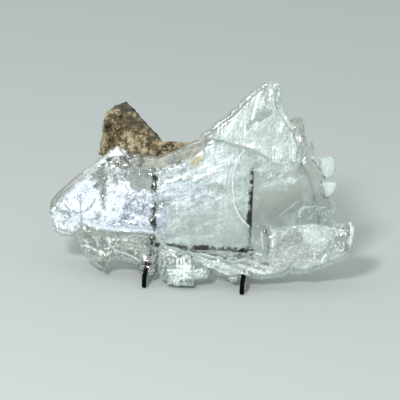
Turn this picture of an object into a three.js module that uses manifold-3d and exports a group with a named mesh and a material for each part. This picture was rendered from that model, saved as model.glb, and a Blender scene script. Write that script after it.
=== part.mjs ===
// A clear selenite slab with its sandy brown matrix, leaning on a black wire stand.
// Millimetres, +Z up, the broad face towards -Y, the stand's feet on Z = 0.
//
// The slab and the matrix are drawn in the slab's own plane: u runs to the right, v runs up
// the face, w comes out of the face towards the viewer. One group leans that plane back.

import * as THREE from "three";
import { mergeVertices } from "three/addons/utils/BufferGeometryUtils.js";
import Module from "manifold-3d";

const wasm = await Module();
wasm.setup();

// Driving dimensions.
const GAP = 0.3; // clearance between neighbouring pieces
const LEAN = THREE.MathUtils.degToRad(23); // how far the slab leans back
const SLAB_Y = 17; // where the origin of the slab's own plane lies
const SLAB_Z = -6.5;
const BACK_FACE = -13; // w of the slab's rearmost cleavage face

const ROD_RADIUS = 2.5; // 5 mm wire
const ROD_SIDES = 8; // of the bent wires
const STRAIGHT_SIDES = 12; // of the straight ones
const WIRE_STEPS = 56; // rings along a bent wire
const ROD_BEND = 6; // bend radius of the wire's centre line
const ARM_Z = 13; // height of the arms' centre line
const ARM_LENGTH = 96; // front foot to rear foot
const LEFT_ARM_X = -57;
const RIGHT_ARM_X = 46.3;
const UPRIGHT_TOP = 112;
const BAR_OVERHANG = 5; // how far the cross bar runs past each arm

const SEAT_Z = ARM_Z + ROD_RADIUS + GAP; // underside of the slab where it sits
const SEAT_HALF_WIDTH = 4; // of the notch that the slab's low rim has over each arm
const REAR_SEAT_HALF_WIDTH = 16; // of the flat behind that notch
const REAR_RIM_Z = 9; // lowest point of the slab's rear rim

const PEAK_STREAK = { width: 5, back: 2, front: 7 };
const MIDDLE_STREAK = { width: 6, back: 6, front: 10.2 };

// ---------------------------------------------------------------------------
// Solids
// ---------------------------------------------------------------------------

function solidFrom(geometry) {
  const bare = geometry.index ? geometry.toNonIndexed() : geometry.clone();
  bare.deleteAttribute("normal");
  bare.deleteAttribute("uv");
  const merged = mergeVertices(bare, 1e-4);
  return new wasm.Manifold(new wasm.Mesh({
    numProp: 3,
    vertProperties: new Float32Array(merged.attributes.position.array),
    triVerts: new Uint32Array(merged.index.array),
  }));
}

function geometryFrom(solid) {
  const mesh = solid.getMesh();
  const geometry = new THREE.BufferGeometry();
  geometry.setAttribute("position", new THREE.BufferAttribute(mesh.vertProperties, 3));
  geometry.setIndex(new THREE.BufferAttribute(mesh.triVerts, 1));
  return geometry;
}

function joined(solids) {
  return solids.reduce((whole, next) => whole.add(next));
}

// ---------------------------------------------------------------------------
// Cleavage plates: flat-faced sheets, bevelled at the rim, whose front face may tilt
// ---------------------------------------------------------------------------

function plate({ outline, back, front, tilt = [0, 0], bevel = 1.5 }) {
  const shape = new THREE.Shape(outline.map(([u, v]) => new THREE.Vector2(u, v)));
  const geometry = new THREE.ExtrudeGeometry(shape, {
    depth: front - back - 2 * bevel,
    bevelEnabled: true,
    bevelThickness: bevel,
    bevelSize: bevel,
    bevelOffset: -bevel,
    bevelSegments: 1,
  });
  geometry.translate(0, 0, back + bevel);
  tiltFront(geometry, (back + front) / 2, tilt);
  return solidFrom(geometry);
}

function tiltFront(geometry, middle, [slopeU, slopeV]) {
  geometry.computeBoundingBox();
  const centre = geometry.boundingBox.getCenter(new THREE.Vector3());
  const place = geometry.attributes.position;
  for (let i = 0; i < place.count; i += 1) {
    if (place.getZ(i) > middle) {
      const rise = slopeU * (place.getX(i) - centre.x) + slopeV * (place.getY(i) - centre.y);
      place.setZ(i, place.getZ(i) + rise);
    }
  }
}

// A narrow raised splinter from one point to another. Each corner is a share of the way
// along it, and a side of its centre line.
const SPLINTER_CORNERS = [[0.1, -1], [0.8, -1], [1, 0], [0.9, 1], [0.2, 1], [0, 0]];

function splinter([from, to], { width, back, front }) {
  const start = new THREE.Vector2(...from);
  const reach = new THREE.Vector2(...to).sub(start);
  const side = new THREE.Vector2(-reach.y, reach.x).setLength(width / 2);
  const outline = SPLINTER_CORNERS.map(([share, sign]) => (
    start.clone().addScaledVector(reach, share).addScaledVector(side, sign).toArray()));
  return plate({ outline, back, front, bevel: 0.5 });
}

// ---------------------------------------------------------------------------
// Lumps: a closed pillow over an outline, roughened
// ---------------------------------------------------------------------------

// A repeatable value between -1 and 1 for each number: the far digits of a large sine wave.
function jitter(n) {
  const frequency = 127.1;
  const phase = 311.7;
  const amplitude = 43758.5453;
  const wave = Math.sin(n * frequency + phase) * amplitude;
  return 2 * (wave - Math.floor(wave)) - 1;
}

// The outline is one ring of a sphere's grid. Rings shrink towards both poles, and "boxy"
// below 1 keeps them wide for longer, which makes the lump squarer. "grow" swells it all over.
function lump({ outline, back, front, around, rings, boxy = 0.6, rough = 0, grow = 0 }) {
  const shape = new THREE.Shape(outline.map(([u, v]) => new THREE.Vector2(u, v)));
  const rim = shape.getSpacedPoints(around).slice(0, around);
  const centre = rim.reduce((sum, p) => sum.add(p), new THREE.Vector2()).divideScalar(around);
  const middle = (back + front) / 2;
  const half = (front - back) / 2;
  const geometry = new THREE.SphereGeometry(1, around, rings);
  const place = geometry.attributes.position;
  for (let row = 0; row <= rings; row += 1) {
    const polar = Math.PI * row / rings;
    const spread = row % rings === 0 ? 0 : Math.sin(polar) ** boxy;
    const height = Math.sign(Math.cos(polar)) * Math.abs(Math.cos(polar)) ** boxy;
    for (let column = 0; column <= around; column += 1) {
      const at = column % around;
      const seed = spread === 0 ? row : row * around + at;
      const arm = rim[at].clone().sub(centre);
      const reach = spread * (1 + (rough * jitter(seed) + grow) / arm.length());
      const depth = height * half + rough * jitter(seed + 0.5) + grow * height;
      const i = row * (around + 1) + column;
      place.setXYZ(i, centre.x + arm.x * reach, centre.y + arm.y * reach, middle + depth);
    }
  }
  return outward(solidFrom(geometry), geometry);
}

// Turns a solid the right way round when its outline ran the other way.
function outward(solid, geometry) {
  if (solid.volume() > 0) {
    return solid;
  }
  const flipped = geometry.toNonIndexed();
  const p = flipped.attributes.position;
  for (let i = 0; i < p.count; i += 3) {
    const a = [p.getX(i), p.getY(i), p.getZ(i)];
    p.setXYZ(i, p.getX(i + 1), p.getY(i + 1), p.getZ(i + 1));
    p.setXYZ(i + 1, ...a);
  }
  return solidFrom(flipped);
}

// ---------------------------------------------------------------------------
// The slab
// ---------------------------------------------------------------------------

const SLAB_TOP_EDGE = [
  [-166, 80], [-164, 87], [-156, 97], [-141, 112], [-124, 126], [-116, 134], [-108, 140],
  [-98, 147], [-92, 146], [-79, 142], [-63, 139], [-52, 140], [-42, 144], [-31, 150],
  [-21, 157], [-12, 161], [-9, 168], [0, 173], [5, 180], [15, 187], [21, 194], [35, 210],
  [43, 218], [51, 224], [58, 227], [72, 226], [74, 214], [75, 203], [77, 196], [84, 189],
  [90, 192], [97, 190], [99, 182], [100, 172], [105, 160], [107, 165], [110, 165],
  [113, 153], [118, 145], [125, 129], [129, 111], [132, 97], [136, 85], [141, 81],
  [149, 83], [157, 83],
];
const SLAB_BOTTOM_EDGE = [
  [161, 73], [159, 60], [157, 53], [152, 44], [147, 40], [137, 37], [122, 31], [115, 26],
  [93, 26], [88, 21], [80, 19], [68, 17], [52, 18], [44, 18], [41, 15], [37, 11],
  [33, 12], [30, 17], [15, 19], [4, 21], [-17, 24], [-42, 24], [-51, 18], [-66, 20],
  [-72, 24], [-79, 26], [-88, 27], [-96, 25], [-102, 13], [-105, 17], [-114, 20],
  [-119, 25], [-126, 32], [-130, 39], [-133, 46], [-137, 49], [-153, 49], [-159, 54],
  [-162, 60], [-165, 69],
];

const CORE = { outline: [...SLAB_TOP_EDGE, ...SLAB_BOTTOM_EDGE], back: -9, front: 1 };

// Rear cleavage sheets. The first takes the slab's weight against the uprights.
const REAR_SHEETS = [
  {
    outline: [
      [-152, 72], [-140, 98], [-118, 120], [-98, 134], [-60, 134], [-22, 150], [0, 165],
      [28, 194], [50, 214], [68, 212], [74, 188], [92, 176], [100, 150], [112, 130],
      [124, 100], [130, 76], [148, 72], [148, 50], [120, 38], [80, 33], [30, 33],
      [-30, 34], [-100, 34], [-130, 54],
    ],
    back: BACK_FACE, front: -8,
  },
  { outline: [[-48, 48], [-46, 104], [-20, 122], [20, 126], [36, 96], [34, 52], [0, 42]],
    back: -17, front: -12 },
  { outline: [[62, 46], [58, 104], [76, 132], [98, 120], [112, 88], [104, 52]],
    back: -16, front: -12 },
  { outline: [[-136, 66], [-128, 94], [-104, 112], [-72, 108], [-70, 62], [-100, 50]],
    back: -16.5, front: -12 },
];

// Front cleavage sheets, from the broad ones to the small ones on them.
const FRONT_SHEETS = [
  // The broad sheet over the left and the middle, which ends in a curved edge on the right.
  {
    outline: [
      [-161, 74], [-158, 84], [-149, 95], [-135, 109], [-122, 120], [-106, 134],
      [-102, 141], [-98, 145], [-93, 143], [-86, 136], [-73, 124], [-62, 126], [-49, 128],
      [-35, 133], [-24, 138], [-17, 145], [-4, 156], [3, 160], [13, 160], [23, 158],
      [34, 155], [31, 142], [27, 129], [26, 110], [29, 96], [34, 85], [41, 77], [49, 71],
      [53, 58], [55, 46], [51, 35], [39, 30], [14, 30], [-7, 34], [-22, 38], [-40, 42],
      [-49, 48], [-57, 57], [-84, 59], [-103, 58], [-116, 60], [-129, 65], [-141, 70],
      [-154, 71],
    ],
    back: -4, front: 9, bevel: 2.5,
  },
  // The peak's own face, set back behind the broad sheet.
  {
    outline: [
      [-7, 164], [2, 172], [11, 181], [21, 189], [29, 198], [36, 206], [45, 215], [53, 221],
      [62, 223], [68, 221], [70, 208], [73, 197], [78, 190], [85, 182], [92, 173],
      [95, 159], [94, 146], [81, 142], [67, 142], [56, 147], [43, 153], [32, 155],
      [16, 158], [3, 158],
    ],
    back: -4, front: 5.5, tilt: [0.015, -0.02],
  },
  // The clear field to the right of the middle.
  {
    outline: [
      [57, 137], [81, 139], [97, 143], [110, 141], [119, 129], [126, 113], [128, 100],
      [119, 98], [105, 99], [98, 102], [81, 90], [57, 76], [46, 83], [39, 100], [39, 121],
      [44, 134],
    ],
    back: -4, front: 3.5, tilt: [-0.02, 0], bevel: 1,
  },
  // The thick lower right part and the rounded column at its left end.
  {
    outline: [
      [61, 74], [75, 72], [91, 73], [107, 77], [123, 75], [136, 75], [145, 79], [156, 81],
      [159, 72], [157, 59], [155, 50], [149, 43], [136, 38], [123, 33], [115, 28],
      [93, 28], [87, 23], [68, 19], [52, 20], [46, 24], [51, 35], [54, 48], [56, 63],
    ],
    back: -4, front: 11, tilt: [-0.02, 0.01], bevel: 2.5,
  },
  {
    outline: [
      [53, 85], [58, 92], [68, 95], [79, 91], [86, 83], [90, 69], [91, 52], [86, 39],
      [78, 32], [66, 34], [58, 42], [54, 58], [52, 73],
    ],
    back: -2, front: 14.5, bevel: 4,
  },
  // The frosted patch and the ragged blocks of the right end.
  { outline: [[94, 48], [92, 68], [108, 74], [124, 73], [136, 62], [130, 46], [110, 42]],
    back: 4, front: 13.5, tilt: [0.02, 0.03] },
  { outline: [[140, 48], [137, 66], [143, 76], [154, 79], [157, 66], [153, 51]],
    back: 2, front: 13.5, tilt: [0.05, 0] },
  // The two convex glossy fields on the left, and the bright tip above them.
  {
    outline: [
      [-152, 80], [-149, 92], [-142, 101], [-135, 107], [-126, 108], [-119, 103],
      [-112, 95], [-108, 87], [-110, 77], [-116, 69], [-123, 66], [-134, 70], [-143, 76],
    ],
    back: 4, front: 12.5, tilt: [0.01, 0.02], bevel: 2.5,
  },
  {
    outline: [
      [-105, 103], [-99, 109], [-90, 108], [-83, 102], [-81, 92], [-82, 79], [-85, 68],
      [-98, 64], [-105, 68], [-106, 85],
    ],
    back: 4, front: 11.5, tilt: [-0.02, 0.02], bevel: 2,
  },
  { outline: [[-112, 131], [-104, 139], [-98, 146], [-93, 143], [-87, 137], [-97, 135]],
    back: 2, front: 11.5, tilt: [0, 0.08] },
  // The ragged lower left part.
  {
    outline: [
      [-137, 62], [-121, 60], [-103, 58], [-83, 58], [-59, 56], [-47, 46], [-45, 35],
      [-48, 24], [-58, 21], [-66, 23], [-76, 26], [-89, 30], [-99, 26], [-104, 20],
      [-110, 22], [-116, 25], [-125, 34], [-129, 41], [-133, 49], [-144, 52], [-154, 53],
      [-157, 60],
    ],
    back: -4, front: 5, tilt: [0, -0.06],
  },
  { outline: [[-128, 40], [-124, 54], [-110, 52], [-106, 38], [-114, 26]],
    back: 0, front: 8.5, tilt: [0.05, -0.08] },
  { outline: [[-104, 22], [-100, 44], [-86, 48], [-78, 34], [-88, 29]],
    back: 0, front: 8, tilt: [-0.05, -0.05] },
  { outline: [[-72, 25], [-74, 46], [-56, 50], [-50, 38], [-52, 24], [-60, 21]],
    back: 0, front: 10, tilt: [0, -0.1] },
  // The fringe of fanned leaves along the lower edge.
  { outline: [[-14, 38], [20, 35], [45, 27], [84, 25], [76, 21], [50, 20], [31, 19], [2, 24]],
    back: -2, front: 12, tilt: [0, 0.02] },
  { outline: [[8, 27], [42, 24], [70, 22], [62, 19], [46, 20], [31, 17], [20, 20]],
    back: 0, front: 14, bevel: 1 },
  // The spike and the tooth that hang from it.
  { outline: [[-109, 30], [-106, 19], [-102, 13], [-99, 21], [-96, 30]],
    back: 0, front: 6, bevel: 1 },
  { outline: [[28, 26], [31, 14], [36, 11.5], [41, 16], [44, 26]], back: 1, front: 9, bevel: 1 },
];

// Small thin flakes that stand out from the right edge.
const FLAKES = [
  { outline: [[106, 150], [118, 151], [128, 151], [135, 150], [137, 138], [135, 129],
    [128, 127], [119, 130], [112, 140]], back: -4, front: 4, tilt: [0.12, 0.1], bevel: 1 },
  { outline: [[120, 124], [135, 126], [140, 124], [139, 116], [136, 110], [132, 106],
    [124, 108]], back: -4, front: 3, tilt: [0.15, -0.05], bevel: 1 },
  { outline: [[124, 106], [138, 103], [138, 94], [135, 86], [128, 88]],
    back: -9, front: -4, bevel: 1 },
];

const HANGING_LUMPS = [
  {
    outline: [[-44, 26], [-41, 34], [-34, 37], [-24, 38], [-14, 36], [-6, 31], [-4, 20],
      [-5, 12], [-8, 5], [-21, 3.6], [-31, 4], [-36, 9], [-41, 16]],
    back: 3.5, front: 22, around: 26, rings: 9, rough: 0.6,
  },
  { outline: [[-12, 34], [1, 32], [8, 27], [10, 20], [7, 14], [-3, 13], [-12, 14]],
    back: 2, front: 17, around: 18, rings: 7, rough: 0.6 },
  // It hangs down on both sides of the left arm.
  { outline: [[-67, 25], [-58, 28], [-46, 25], [-45, 18], [-48, 12.5], [-57, 11], [-65, 14]],
    back: -3, front: 11, around: 18, rings: 6, rough: 0.5 },
];

const PEAK_STREAKS = [
  [[44, 178], [56, 216]], [[30, 168], [38, 200]], [[17, 164], [22, 186]],
  [[62, 160], [66, 190]], [[80, 152], [84, 176]],
];
const MIDDLE_STREAKS = [
  [[-50, 104], [26, 128]], [[-44, 92], [22, 116]], [[-30, 122], [24, 142]],
  [[-40, 112], [-2, 124]], [[-20, 78], [20, 88]],
];

function slabSolid(matrixRoom) {
  const rear = joined([plate(CORE), ...REAR_SHEETS.map(plate)]);
  const front = joined([
    ...FRONT_SHEETS.map(plate),
    ...FLAKES.map(plate),
    ...HANGING_LUMPS.map(lump),
    ...PEAK_STREAKS.map((ends) => splinter(ends, PEAK_STREAK)),
    ...MIDDLE_STREAKS.map((ends) => splinter(ends, MIDDLE_STREAK)),
  ]);
  const seatedRear = rear
    .subtract(blockBelow(REAR_RIM_Z, -200, 200))
    .subtract(seat(REAR_SEAT_HALF_WIDTH));
  return seatedRear.add(front).subtract(seat(SEAT_HALF_WIDTH)).subtract(matrixRoom);
}

// What is cut from the slab's underside over both arms.
function seat(halfWidth) {
  const [left, right] = [LEFT_ARM_X, RIGHT_ARM_X].map((x) => (
    blockBelow(SEAT_Z, x - halfWidth, x + halfWidth)));
  return left.add(right);
}

// A block under a level plane between two X values, in the slab's own axes.
function blockBelow(level, fromX, toX) {
  const depth = 100;
  const block = new THREE.BoxGeometry(toX - fromX, 4 * depth, depth);
  block.translate((fromX + toX) / 2, 0, level - depth / 2);
  return solidFrom(block.applyMatrix4(slabPlacement().invert()));
}

function slabPlacement() {
  return new THREE.Matrix4().makeRotationX(Math.PI / 2 - LEAN).setPosition(0, SLAB_Y, SLAB_Z);
}

// ---------------------------------------------------------------------------
// The matrix: a sandy wedge behind the upper left edge, running out to a thin crust
// ---------------------------------------------------------------------------

function matrixSolid(grow) {
  const wedge = lump({
    outline: [
      [-118, 140], [-117, 152], [-115, 160], [-117, 168], [-115, 181], [-105, 191],
      [-98, 195], [-94, 195], [-83, 188], [-73, 178], [-62, 168], [-54, 160], [-50, 154],
      [-54, 146], [-61, 142], [-67, 134], [-73, 126], [-82, 131], [-90, 138], [-103, 140],
      [-111, 136],
    ],
    back: -32, front: 0, around: 40, rings: 12, boxy: 0.55, rough: 1.1, grow,
  });
  const crust = lump({
    outline: [[-66, 157], [-52, 156], [-40, 157], [-30, 157], [-19, 158], [-25, 153],
      [-35, 147], [-44, 142], [-54, 138], [-66, 138]],
    back: -17, front: -3, around: 24, rings: 6, boxy: 0.6, rough: 0.5, grow,
  });
  return wedge.add(crust);
}

// ---------------------------------------------------------------------------
// The stand
// ---------------------------------------------------------------------------

function wireSection() {
  const ring = new THREE.Path().absarc(0, 0, ROD_RADIUS, 0, 2 * Math.PI).getSpacedPoints(ROD_SIDES);
  return new THREE.Shape(ring.slice(0, ROD_SIDES));
}

// A wire through the given points, with a rounded bend at each inner one.
function bentWire(points) {
  const path = new THREE.CurvePath();
  let from = points[0];
  for (let i = 1; i < points.length - 1; i += 1) {
    const before = points[i - 1].clone().sub(points[i]).setLength(ROD_BEND).add(points[i]);
    const after = points[i + 1].clone().sub(points[i]).setLength(ROD_BEND).add(points[i]);
    path.add(new THREE.LineCurve3(from, before));
    path.add(new THREE.QuadraticBezierCurve3(before, points[i], after));
    from = after;
  }
  path.add(new THREE.LineCurve3(from, points[points.length - 1]));
  return new THREE.ExtrudeGeometry(wireSection(), { steps: WIRE_STEPS, extrudePath: path });
}

// Front foot, level arm and rear foot in one bent wire.
function armGeometry(x) {
  const corners = [[0, 0], [0, ARM_Z], [ARM_LENGTH, ARM_Z], [ARM_LENGTH, 0]];
  return bentWire(corners.map(([y, z]) => new THREE.Vector3(x, y, z)));
}

// The rings of a hemisphere on the end of a straight wire, from its shoulder to its tip.
// They close in towards the tip, and "way" is 1 for a top end and -1 for a foot.
function domeRings(tip, way) {
  return [0, 0.35, 0.7, 0.93, 1].map((height) => new THREE.Vector2(
    ROD_RADIUS * Math.sqrt(1 - height * height), tip - way * ROD_RADIUS * (1 - height)));
}

// A straight wire along Y with one or two rounded ends, its foot at the origin.
function straightWire(length, roundBothEnds) {
  const squareFoot = [new THREE.Vector2(0, 0), new THREE.Vector2(ROD_RADIUS, 0)];
  const foot = roundBothEnds ? domeRings(0, -1).reverse() : squareFoot;
  return new THREE.LatheGeometry([...foot, ...domeRings(length, 1)], STRAIGHT_SIDES);
}

// The uprights stand where their rounded tops meet the slab's rear face.
function uprightY() {
  const height = UPRIGHT_TOP - ROD_RADIUS - SLAB_Z;
  const rearFaceY = SLAB_Y + Math.tan(LEAN) * height - BACK_FACE / Math.cos(LEAN);
  return rearFaceY + (ROD_RADIUS + GAP) / Math.cos(LEAN);
}

function uprightGeometry(x) {
  const foot = ARM_Z + ROD_RADIUS + GAP;
  const wire = straightWire(UPRIGHT_TOP - foot, false);
  return wire.rotateX(Math.PI / 2).translate(x, uprightY(), foot);
}

function crossBarGeometry() {
  const length = RIGHT_ARM_X - LEFT_ARM_X + 2 * BAR_OVERHANG;
  const wire = straightWire(length, true);
  const y = uprightY() - 2 * ROD_RADIUS - GAP;
  return wire.rotateZ(-Math.PI / 2)
    .translate(LEFT_ARM_X - BAR_OVERHANG, y, ARM_Z + 2 * ROD_RADIUS + GAP);
}

// ---------------------------------------------------------------------------
// The whole
// ---------------------------------------------------------------------------

function named(name, geometry, material) {
  const mesh = new THREE.Mesh(geometry, material);
  mesh.name = name;
  return mesh;
}

function selenite() {
  return new THREE.MeshStandardMaterial({ color: 0xdde6e2, roughness: 0.15, metalness: 0 });
}

function sandstone() {
  return new THREE.MeshStandardMaterial({ color: 0x7d6443, roughness: 0.95, metalness: 0 });
}

function blackPaint() {
  return new THREE.MeshStandardMaterial({ color: 0x121212, roughness: 0.45, metalness: 0 });
}

function leaningSlab() {
  const group = new THREE.Group();
  group.add(named("selenite_slab", geometryFrom(slabSolid(matrixSolid(GAP))), selenite()));
  group.add(named("matrix", geometryFrom(matrixSolid(0)), sandstone()));
  group.applyMatrix4(slabPlacement());
  return group;
}

function wireStand() {
  const group = new THREE.Group();
  group.add(named("stand_left_arm", armGeometry(LEFT_ARM_X), blackPaint()));
  group.add(named("stand_right_arm", armGeometry(RIGHT_ARM_X), blackPaint()));
  group.add(named("stand_left_upright", uprightGeometry(LEFT_ARM_X), blackPaint()));
  group.add(named("stand_right_upright", uprightGeometry(RIGHT_ARM_X), blackPaint()));
  group.add(named("stand_cross_bar", crossBarGeometry(), blackPaint()));
  return group;
}

// The origin ends up under the middle of the whole, on the surface it stands on.
function centred(group) {
  group.updateMatrixWorld(true);
  const box = new THREE.Box3().setFromObject(group, true);
  const middle = box.getCenter(new THREE.Vector3());
  group.position.set(-middle.x, -middle.y, -box.min.z);
  return group;
}

const slabOnStand = new THREE.Group();
slabOnStand.add(leaningSlab(), wireStand());
export default centred(slabOnStand);
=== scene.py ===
"""A clear selenite slab with its sandy matrix, leaning on a black wire stand.

The slab is drawn in its own plane, in millimetres: u runs to the right along the slab, v up
its face and w out of the face. place() leans that plane back and gives metres in the frame.
"""
import math
from collections import namedtuple
from functools import partial

import bpy
import numpy as np
from bpy.props import FloatProperty, PointerProperty, StringProperty
from mathutils import Matrix, Vector


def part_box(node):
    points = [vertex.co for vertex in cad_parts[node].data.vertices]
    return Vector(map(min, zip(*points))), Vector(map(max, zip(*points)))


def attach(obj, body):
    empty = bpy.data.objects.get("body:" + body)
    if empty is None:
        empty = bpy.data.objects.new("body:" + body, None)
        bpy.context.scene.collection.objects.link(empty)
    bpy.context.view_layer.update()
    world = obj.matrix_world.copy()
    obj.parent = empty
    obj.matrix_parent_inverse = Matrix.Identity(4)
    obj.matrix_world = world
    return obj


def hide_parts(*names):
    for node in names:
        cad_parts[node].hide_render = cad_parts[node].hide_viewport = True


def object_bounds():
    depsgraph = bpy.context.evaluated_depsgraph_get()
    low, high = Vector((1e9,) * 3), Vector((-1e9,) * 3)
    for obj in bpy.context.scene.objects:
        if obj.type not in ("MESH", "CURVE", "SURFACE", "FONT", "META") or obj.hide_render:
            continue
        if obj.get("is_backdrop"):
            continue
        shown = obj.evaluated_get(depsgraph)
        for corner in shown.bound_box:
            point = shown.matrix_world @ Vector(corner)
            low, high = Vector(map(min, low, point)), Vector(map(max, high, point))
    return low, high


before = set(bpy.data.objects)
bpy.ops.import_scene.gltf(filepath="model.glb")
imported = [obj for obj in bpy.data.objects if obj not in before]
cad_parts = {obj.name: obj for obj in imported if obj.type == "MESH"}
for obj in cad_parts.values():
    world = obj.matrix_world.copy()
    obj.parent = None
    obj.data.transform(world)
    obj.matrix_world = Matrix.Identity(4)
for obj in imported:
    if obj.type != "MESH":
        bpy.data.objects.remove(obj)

bl_info = {
    "name": "Selenite Slab",
    "version": (1, 0, 0),
    "blender": (4, 5, 0),
    "location": "View3D > Sidebar > Selenite",
    "description": "Builds a cleaved selenite slab, its matrix and its wire stand",
    "category": "Add Mesh",
}

CAD_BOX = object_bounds()
MM = 0.001

# ---- The slab's own plane, placed by the left arm of the stand ----

LEAN = math.radians(23)
LEFT_ARM_U = -57.0  # u of the left arm's centre line
ORIGIN_BEHIND_FOOT = 17.0  # how far the plane's origin lies behind the front feet
ORIGIN_Z = -6.5


def plane_origin():
    """The slab plane's origin in the frame, in mm."""
    low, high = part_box("stand_left_arm")
    radius = (high.x - low.x) / 2
    return np.array((
        (low.x + high.x) / 2 / MM - LEFT_ARM_U,
        (low.y + radius) / MM + ORIGIN_BEHIND_FOOT,
        ORIGIN_Z,
    ))


ORIGIN = plane_origin()
AXIS_U = np.array((1.0, 0.0, 0.0))
AXIS_V = np.array((0.0, math.sin(LEAN), math.cos(LEAN)))
AXIS_W = np.array((0.0, -math.cos(LEAN), math.sin(LEAN)))


def place(u, v, w):
    """Slab coordinates in mm to points in the frame in metres: origin + u U + v V + w W."""
    return MM * (ORIGIN + np.outer(u, AXIS_U) + np.outer(v, AXIS_V) + np.outer(w, AXIS_W))


# ---- Patterns, worked out for whole arrays at once; sizes are in mm ----

LATTICE = 256  # random numbers along each side of a pattern before it repeats
FAR = 9.0  # in cells, farther than any facet's centre


def blend(edge0, edge1, x):
    """0 below edge0, 1 above edge1, and a smooth S between."""
    t = np.clip((x - edge0) / (edge1 - edge0), 0, 1)
    return t * t * (3 - 2 * t)


def unit_noise(x, y, seed):
    """Random heights on the corners of a unit lattice, blended smoothly between corners."""
    heights = np.random.default_rng(seed).uniform(-1, 1, (LATTICE, LATTICE))
    column, row = np.floor(x).astype(int), np.floor(y).astype(int)
    across, along = blend(0, 1, x - column), blend(0, 1, y - row)

    def corner(i, j):
        return heights[(column + i) % LATTICE, (row + j) % LATTICE]

    low = corner(0, 0) + across * (corner(1, 0) - corner(0, 0))
    high = corner(0, 1) + across * (corner(1, 1) - corner(0, 1))
    return low + along * (high - low)


def turned(u, v, turn):
    """Distances along a direction and across it, where "turn" is its angle from u."""
    return u * math.cos(turn) + v * math.sin(turn), v * math.cos(turn) - u * math.sin(turn)


def cloud(u, v, size, seed, octaves=3):
    """Sum of noises, each half as large and half as high as the last, each turned a little."""
    total = 0
    for octave in range(octaves):
        x, y = turned(u, v, 0.9 * octave + 0.37 * seed)
        scale = 2 ** octave / size
        total = total + unit_noise(x * scale, y * scale, seed + 101 * octave) / 2 ** octave
    return total


def fibres(u, v, angle, length, width, seed, octaves=3):
    """Noise drawn out along a direction: "length" mm along it and "width" mm across."""
    along, across = turned(u, v, math.radians(angle))
    across = across + 0.8 * width * cloud(u, v, length, seed + 7, 2)
    total = 0
    for octave in range(octaves):
        scale = 2 ** octave
        noise = unit_noise(along * scale / length, across * scale / width, seed + 53 * octave)
        total = total + noise / scale
    return total


def wandered(u, v, seed, *noises, share=1):
    """The same points, each moved by noises, given as a height, a size and octaves.

    The noises take one seed after another, first those that move u, then those that move v.
    """
    axes = []
    for base in (u, v):
        moved = base
        for height, size, octaves in noises:
            moved = moved + share * height * cloud(u, v, size, seed, octaves)
            seed += 1
        axes.append(moved)
    return axes


Shards = namedtuple("Shards", "border du dv lean_u lean_v level")


def shards(u, v, size, seed):
    """Broken facets: each point belongs to the nearest centre of a jittered lattice.

    border is the distance to the next facet, du and dv lead from the centre, and the lean
    and level are the facet's own random numbers.
    """
    rng = np.random.default_rng(seed)
    jitter = rng.uniform(0, 1, (LATTICE, LATTICE, 2))
    own = rng.uniform(-1, 1, (LATTICE, LATTICE, 3))
    x, y = u / size, v / size
    column, row = np.floor(x).astype(int), np.floor(y).astype(int)
    nearest, second = np.full(u.shape, FAR), np.full(u.shape, FAR)
    picked = np.zeros(u.shape + (5,))
    for i in (-1, 0, 1):
        for j in (-1, 0, 1):
            c, r = (column + i) % LATTICE, (row + j) % LATTICE
            du = x - column - i - jitter[c, r, 0]
            dv = y - row - j - jitter[c, r, 1]
            away = np.hypot(du, dv)
            closer = away < nearest
            second = np.where(closer, nearest, np.minimum(second, away))
            nearest = np.where(closer, away, nearest)
            here = np.stack([du * size, dv * size, *np.moveaxis(own[c, r], -1, 0)], -1)
            picked = np.where(closer[..., None], here, picked)
    return Shards((second - nearest) * size, *np.moveaxis(picked, -1, 0))


def facet_height(cells, slope, step):
    """Height over a field of shards: each is a plane with a lean of its own."""
    return slope * (cells.lean_u * cells.du + cells.lean_v * cells.dv) + step * cells.level


def terraced(x, count):
    """Turns a smooth height into flat steps, "count" to each unit, with short steep risers."""
    whole = np.floor(x * count)
    return (whole + blend(0.72, 1.0, x * count - whole)) / count


def soft_least(first, second, reach):
    """The lower of two heights, rounded off where they lie within "reach" of each other."""
    share = np.clip(0.5 + (second - first) / (2 * reach), 0, 1)
    return second + (first - second) * share - reach * share * (1 - share)


def soft_most(first, second, reach):
    """The higher of two heights, rounded in the same way."""
    return -soft_least(-first, -second, reach)


def hump(away, reach):
    """1 where "away" is 0, falling off as a bell on both sides over "reach"."""
    return np.exp(-(away / reach) ** 2)


def path(text):
    """Points from text that gives each as u,v in mm."""
    return np.array([pair.split(",") for pair in text.split()], float)


def line_distance(points, u, v):
    """Distance in mm from each grid point to an open line."""
    nearest = np.full(u.shape, np.inf)
    for (au, av), (bu, bv) in zip(points[:-1], points[1:]):
        du, dv = bu - au, bv - av
        t = np.clip(((u - au) * du + (v - av) * dv) / (du * du + dv * dv), 0, 1)
        nearest = np.minimum(nearest, (u - au - t * du) ** 2 + (v - av - t * dv) ** 2)
    return np.sqrt(nearest)


def inside_distance(outline, u, v):
    """Distance in mm from each grid point to a closed outline, positive inside it."""
    closed = np.vstack([outline, outline[:1]])
    inside = np.zeros(u.shape, bool)
    for (au, av), (bu, bv) in zip(closed[:-1], closed[1:]):
        if av != bv:
            inside ^= ((av > v) != (bv > v)) & (u < (bu - au) * (v - av) / (bv - av) + au)
    return np.where(inside, 1, -1) * line_distance(closed, u, v)


# ---- The slab's outlines, in mm in its own plane, each point as u,v ----

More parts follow.
